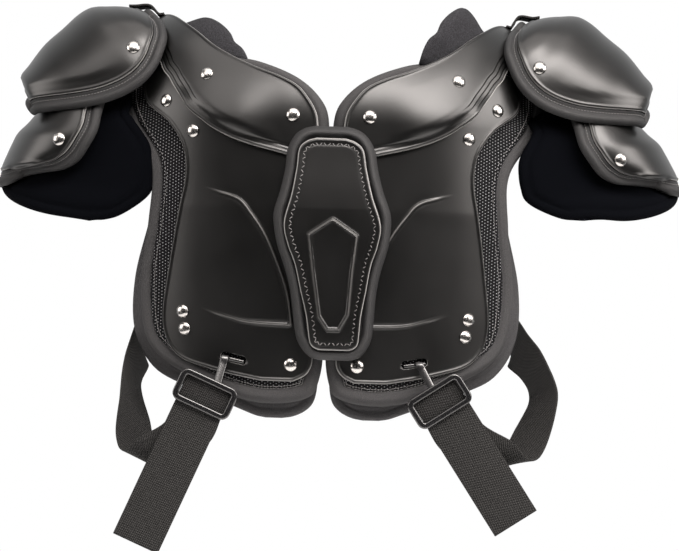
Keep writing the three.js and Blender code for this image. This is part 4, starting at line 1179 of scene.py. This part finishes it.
def sternum_crown(x):
    return STERNUM_CROWN * (1 - (x / STERNUM_HALF) ** 2)


def front_layer(x, y, z):
    """Points of a layer that faces the front, its normals and the distances from its border."""
    p = np.stack([x, y, z], -1)
    n = np.zeros_like(p)
    n[..., 1] = -1
    return p, n, distance_to(p, border(p))


def make_sternum():
    """Cushion, its shell with the raised panel, and the zig-zag line of stitches on the shell's margin."""
    half = STERNUM_THICK / 2
    across, z, x = sternum_grid(STERNUM, [0, 0.3, 0.9, 1.8, 2.9, 4.2, 5.6, 6.9, 7.9, 8.6, 9.2, 10, 11], 2.6)
    base, n, e = front_layer(x, sternum_face(z) - half, z)
    high = half * bend(e, 5.2) + sternum_crown(across) * smooth(e / 8)
    high = high + 1.4 * bump(e, 4.4, 2.4) - 3.2 * bump(e, 9.8, 1.7) - 0.3 * smooth((e - 9) / 3)
    high = np.where(e < 1e-6, 0, high)
    obj = slab("sternum_cushion", base, n, high, -half * bend(e, 4), np.stack([z, x], -1))
    dress(obj, "binding", ["sternum_pad"])

    half = SHELL_THICK / 2
    seat = lambda z_: sternum_face(z_) - STERNUM_THICK - SEAT
    across, z, x = sternum_grid(SHELL, FINE, 1.3)
    panel = inside(np.stack([x, z], -1), ROOF)
    roof = 4.6 * smooth(panel / 2.2) + 0.5 * bump(panel, 2.2, 0.9)
    base, n, e = front_layer(x, seat(z) - half - sternum_crown(across), z)
    high = half * bend(e, 1.3) + 0.35 * bump(e, 2.0, 0.8) * (e > 0.05) + roof - 0.35 * bump(e, 5.0, 0.8)
    attributes = {"edge": e, "crest": np.clip(panel, -6, 12), "crest_weight": 0 * e + 0.6}
    low = -half * bend(e, 1.3) + 0.75 * roof
    obj = slab("sternum_cover", base, n, high, low, np.stack([z, x], -1), attributes)
    dress(obj, "shell", ["sternum_shell"])

    line, run = resample(border(np.stack([x, z], -1)), 3.4, closed=True)
    inward = inward_of(line, run, 2)
    zig = np.where(np.arange(len(line)) % 2 == 0, 1.0, -1.0)[:, None]
    q = line + inward * STITCH_DEPTH
    tilt = unit(run + 1.1 * zig * inward)
    up = np.tile([0.0, -1.0, 0.0], (len(line), 1))
    spots = np.stack([q[:, 0], seat(q[:, 1]) - 2.75 - sternum_crown(q[:, 0]), q[:, 1]], 1)
    dirs = np.stack([tilt[:, 0], 0 * tilt[:, 0], tilt[:, 1]], 1)
    stitch_field("sternum_zigzag", spots, dirs, up, 2.9, 0.34, 0.15)


# Rivet head: radius and height above the face.
RIVET_SECTION = [
    [0.01, 0], [4.6, 0], [5.2, 0.12], [5.35, 0.4], [5.1, 0.75], [4.6, 1.25], [3.8, 1.85], [2.8, 2.3],
    [1.6, 2.55], [0.6, 2.62],
]
RIVET_SEAT = 0.1


def make_rivets(name, side):
    spots = []
    for label, at, share, height in RIVETS:
        x, s = side["sign"] * share * HALF_WIDTH, float(along(at))
        lift = float(belly(x, s)) if height == ARCH_OUT else 0.0
        spots.append((label, *body(x, s, height + RIVET_SEAT + lift, side["slope"])))
    for form in ("cap", "flap"):
        label = f"{form}_rivet"
        p, n = dome(forms_of(side)[form], *side[label])
        spots.append((label, place(p + n * RIVET_SEAT, side), place_normal(n, side)))
    for label, p, n in spots:
        dress(lathe(f"{name}_{label}_head", p, n, RIVET_SECTION), "rivet", [f"{name}_{label}"])


def make_links():
    """Hidden bands that join the halves in front and behind."""
    count = 30
    for label, y, node in (
        ("front_link", -(CHEST_DEPTH + PLATE_OUT + SEAT + 1.7), "front_bridge"),
        ("back_link", BACK_DEPTH + PLATE_OUT + SEAT + WEB_THICK / 2, "back_bridge"),
    ):
        across = np.linspace(-LINK_HALF, LINK_HALF, count)
        path = np.stack([across, np.full(count, y), np.full(count, LINK_Z)], 1)
        a, b = np.tile([0.0, 0.0, 1.0], (count, 1)), np.tile([0.0, -1.0, 0.0], (count, 1))
        dress(sweep(label, path, a, b, round_bar(LINK_WIDTH, WEB_THICK, 0.8)), "webbing", [node])


COLOURS = {
    "shell": ("Shell", "Satin plastic", (0.0005, 0.0005, 0.0005)),
    # Painted highlight: the lighter colour laid along the shells' edges and crest lines.
    "shell_edge": ("Shell highlight, painted", "Painted highlight along the edges and crests of the plastic", (0.17, 0.168, 0.165)),
    "cloth": ("Cloth", "Binding and pad cover", (0.018, 0.018, 0.019)),
    "rim": ("Rims", "Binding of caps, flaps and sternum pad", (0.004, 0.004, 0.0043)),
    "cloth_light": ("Cloth, light threads", "Light threads of the cloth", (0.055, 0.054, 0.055)),
    "mesh": ("Mesh", "Open cloth beside the plates", (0.0035, 0.0035, 0.004)),
    "mesh_dot": ("Mesh dots", "What shows in the holes of the mesh", (0.22, 0.22, 0.23)),
    "lining": ("Lining", "Cloth of the liner", (0.014, 0.014, 0.016)),
    "deltoid": ("Deltoid pad", "Cloth of the deltoid pads", (0.0008, 0.001, 0.0017)),
    "heather": ("Neck pad", "Light threads of the neck pads", (0.03, 0.03, 0.034)),
    "webbing": ("Webbing", "Strap webbing", (0.045, 0.044, 0.043)),
    "thread": ("Thread", "Stitches", (0.11, 0.108, 0.108)),
    "hook": ("Hook", "Painted metal", (0.004, 0.004, 0.0045)),
}


class PadColours(bpy.types.PropertyGroup):
    """Colours of the pad."""
    __annotations__ = {
        key: bpy.props.FloatVectorProperty(name=label, description=text, subtype="COLOR", default=default)
        for key, (label, text, default) in COLOURS.items()
    }


class PadSizes(bpy.types.PropertyGroup):
    """Sizes that a user would change."""
    rim_width: bpy.props.FloatProperty(
        name="Rim width", description="Width of the binding round the caps", default=RIM_SHOWN * MM,
        unit="LENGTH", min=0.004, max=0.02)


class SidesOperator:
    """Runs a maker for both sides."""
    makers = ()

    def execute(self, context):
        for name, side in SIDES.items():
            for maker in self.makers:
                maker(name, side)
        return {"FINISHED"}


class PAD_OT_body_pads(SidesOperator, bpy.types.Operator):
    """Makes the padded covers and liners of both sides"""
    bl_idname = "shoulder_pad.body_pads"
    bl_label = "Body pads and liners"
    makers = (make_pads,)


class PAD_OT_shells(SidesOperator, bpy.types.Operator):
    """Makes the chest plates, back plates and shoulder arches"""
    bl_idname = "shoulder_pad.shells"
    bl_label = "Plates and arches"
    makers = (make_shells,)


class PAD_OT_epaulets(SidesOperator, bpy.types.Operator):
    """Makes the caps, flaps, their bindings, the deltoid pads and the hinges"""
    bl_idname = "shoulder_pad.epaulets"
    bl_label = "Epaulets"
    makers = (make_epaulets, make_hinge)


class PAD_OT_neck(SidesOperator, bpy.types.Operator):
    """Makes the neck cushions"""
    bl_idname = "shoulder_pad.neck"
    bl_label = "Neck cushions"
    makers = (make_neck,)


class PAD_OT_straps(SidesOperator, bpy.types.Operator):
    """Makes the strap hooks and the side straps"""
    bl_idname = "shoulder_pad.straps"
    bl_label = "Hooks and straps"
    makers = (make_hook, make_strap)


class PAD_OT_rivets(SidesOperator, bpy.types.Operator):
    """Makes the rivet heads"""
    bl_idname = "shoulder_pad.rivets"
    bl_label = "Rivets"
    makers = (make_rivets,)


class PAD_OT_sternum(bpy.types.Operator):
    """Makes the sternum pad with its shell and stitches, and the links between the halves"""
    bl_idname = "shoulder_pad.sternum"
    bl_label = "Sternum pad"

    def execute(self, context):
        make_sternum()
        make_links()
        return {"FINISHED"}


WARM = (1.0, 0.94, 0.9)
# Lamps: name, place, aim, width and height in metres, watts.
LAMPS = (
    ("key", (0.45, -1.25, 1.15), (0, 0, -0.05), (1.5, 0.7), 80),
    ("left_key", (-0.93, -1.2, 1.0), (-0.05, 0, -0.03), (0.9, 0.8), 9),
    ("right", (1.75, -0.75, 0.6), (0.15, 0, -0.02), (1.2, 1.2), 58),
    ("left", (-1.9, -0.5, 0.3), (-0.15, 0, -0.02), (1.2, 1.2), 26),
    ("top", (0.0, -0.45, 1.4), (0, -0.05, 0), (2.2, 1.3), 28),
)


def add_light(name, spot, target, size, power):
    data = bpy.data.lights.new(name, "AREA")
    data.shape = "RECTANGLE"
    data.size, data.size_y = size
    data.energy = power
    data.color = WARM
    obj = bpy.data.objects.new(name, data)
    obj.location = spot
    d = np.array(target) - np.array(spot)
    yaw = math.atan2(d[1], d[0]) - math.pi / 2
    obj.rotation_euler = (math.atan2(math.hypot(d[0], d[1]), -d[2]), 0, yaw)
    bpy.context.scene.collection.objects.link(obj)


def make_world(scene):
    """Pale studio: white where it is seen, and a white wall behind a dim room for what lights the pad."""
    world = bpy.data.worlds.new("studio")
    scene.world = world
    world.use_nodes = True
    new, link = world.node_tree.nodes.new, world.node_tree.links.new
    world.node_tree.nodes.clear()
    seen, room = new("ShaderNodeBackground"), new("ShaderNodeBackground")
    seen.inputs["Color"].default_value = (1, 1, 1, 1)
    both, out = new("ShaderNodeMixShader"), new("ShaderNodeOutputWorld")
    coord, split, ramp = new("ShaderNodeTexCoord"), new("ShaderNodeSeparateXYZ"), new("ShaderNodeMapRange")
    ramp.interpolation_type = "SMOOTHSTEP"
    for key, value in (("From Min", -0.1), ("From Max", 0.5), ("To Min", 0.03), ("To Max", 1.0)):
        ramp.inputs[key].default_value = value
    link(coord.outputs["Generated"], split.inputs[0])
    link(split.outputs["Y"], ramp.inputs["Value"])
    link(ramp.outputs[0], room.inputs["Strength"])
    link(new("ShaderNodeLightPath").outputs["Is Camera Ray"], both.inputs[0])
    link(room.outputs[0], both.inputs[1])
    link(seen.outputs[0], both.inputs[2])
    link(both.outputs[0], out.inputs[0])


def make_floor():
    """Level disc below the pad, which is shown held up."""
    rings, spokes = 12, 96
    radius = np.linspace(0.0, FLOOR_RADIUS, rings + 1)[1:]
    turn = np.arange(spokes) / spokes * TAU
    ring = np.stack([np.cos(turn), np.sin(turn)], -1)
    level = np.concatenate([[[0.0, 0.0]], (radius[:, None, None] * ring[None]).reshape(-1, 2)])
    verts = np.concatenate([level, np.full((len(level), 1), FLOOR_Z)], 1)
    idx = 1 + np.arange(rings * spokes).reshape(rings, spokes)
    tris = np.stack([np.zeros(spokes, int), idx[0], np.roll(idx[0], -1)], -1)
    floor = mesh_object("floor", verts, ring_faces(idx)[:, ::-1], tris)
    look = Look("pale_floor", (0.8, 0.8, 0.8), 0.9)
    look.shader.inputs["Emission Color"].default_value = (1, 1, 1, 1)
    look.shader.inputs["Emission Strength"].default_value = 0.3
    floor.data.materials.append(look.mat)


def make_camera(scene):
    data = bpy.data.cameras.new("photo_camera")
    data.sensor_fit = "HORIZONTAL"
    data.sensor_width = 36
    data.lens = CAMERA_LENS
    data.clip_end = 60
    camera = bpy.data.objects.new("photo_camera", data)
    camera.location = CAMERA_PLACE
    camera.rotation_euler = (math.radians(90), math.radians(CAMERA_TURN), 0)
    scene.collection.objects.link(camera)
    scene.camera = camera


class PAD_OT_stage(bpy.types.Operator):
    """Makes the floor, the lights, the world and the camera"""
    bl_idname = "shoulder_pad.stage"
    bl_label = "Stage"

    def execute(self, context):
        scene = bpy.context.scene
        make_floor()
        make_world(scene)
        for lamp in LAMPS:
            add_light(*lamp)
        make_camera(scene)
        scene.view_settings.view_transform = "Standard"
        return {"FINISHED"}


OPERATORS = (
    PAD_OT_body_pads, PAD_OT_shells, PAD_OT_epaulets, PAD_OT_neck, PAD_OT_straps, PAD_OT_rivets,
    PAD_OT_sternum, PAD_OT_stage,
)


class PAD_PT_panel(bpy.types.Panel):
    """Lists the steps that build the shoulder pad"""
    bl_idname = "PAD_PT_panel"
    bl_label = "Shoulder pad"
    bl_space_type = "VIEW_3D"
    bl_region_type = "UI"
    bl_category = "Shoulder pad"

    def draw(self, context):
        column_ = self.layout.column()
        for group in (context.scene.pad_sizes, context.scene.pad_colours):
            for key in group.__annotations__:
                column_.prop(group, key)
        for operator in OPERATORS:
            column_.operator(operator.bl_idname)


CLASSES = (PadColours, PadSizes, *OPERATORS, PAD_PT_panel)


def register():
    for cls in CLASSES:
        bpy.utils.register_class(cls)
    bpy.types.Scene.pad_colours = bpy.props.PointerProperty(type=PadColours)
    bpy.types.Scene.pad_sizes = bpy.props.PointerProperty(type=PadSizes)


def unregister():
    del bpy.types.Scene.pad_sizes
    del bpy.types.Scene.pad_colours
    for cls in reversed(CLASSES):
        bpy.utils.unregister_class(cls)


def main():
    register()
    bpy.ops.shoulder_pad.body_pads()
    bpy.ops.shoulder_pad.shells()
    bpy.ops.shoulder_pad.epaulets()
    bpy.ops.shoulder_pad.neck()
    bpy.ops.shoulder_pad.straps()
    bpy.ops.shoulder_pad.rivets()
    bpy.ops.shoulder_pad.sternum()
    bpy.ops.shoulder_pad.stage()


if __name__ == "__main__":
    main()
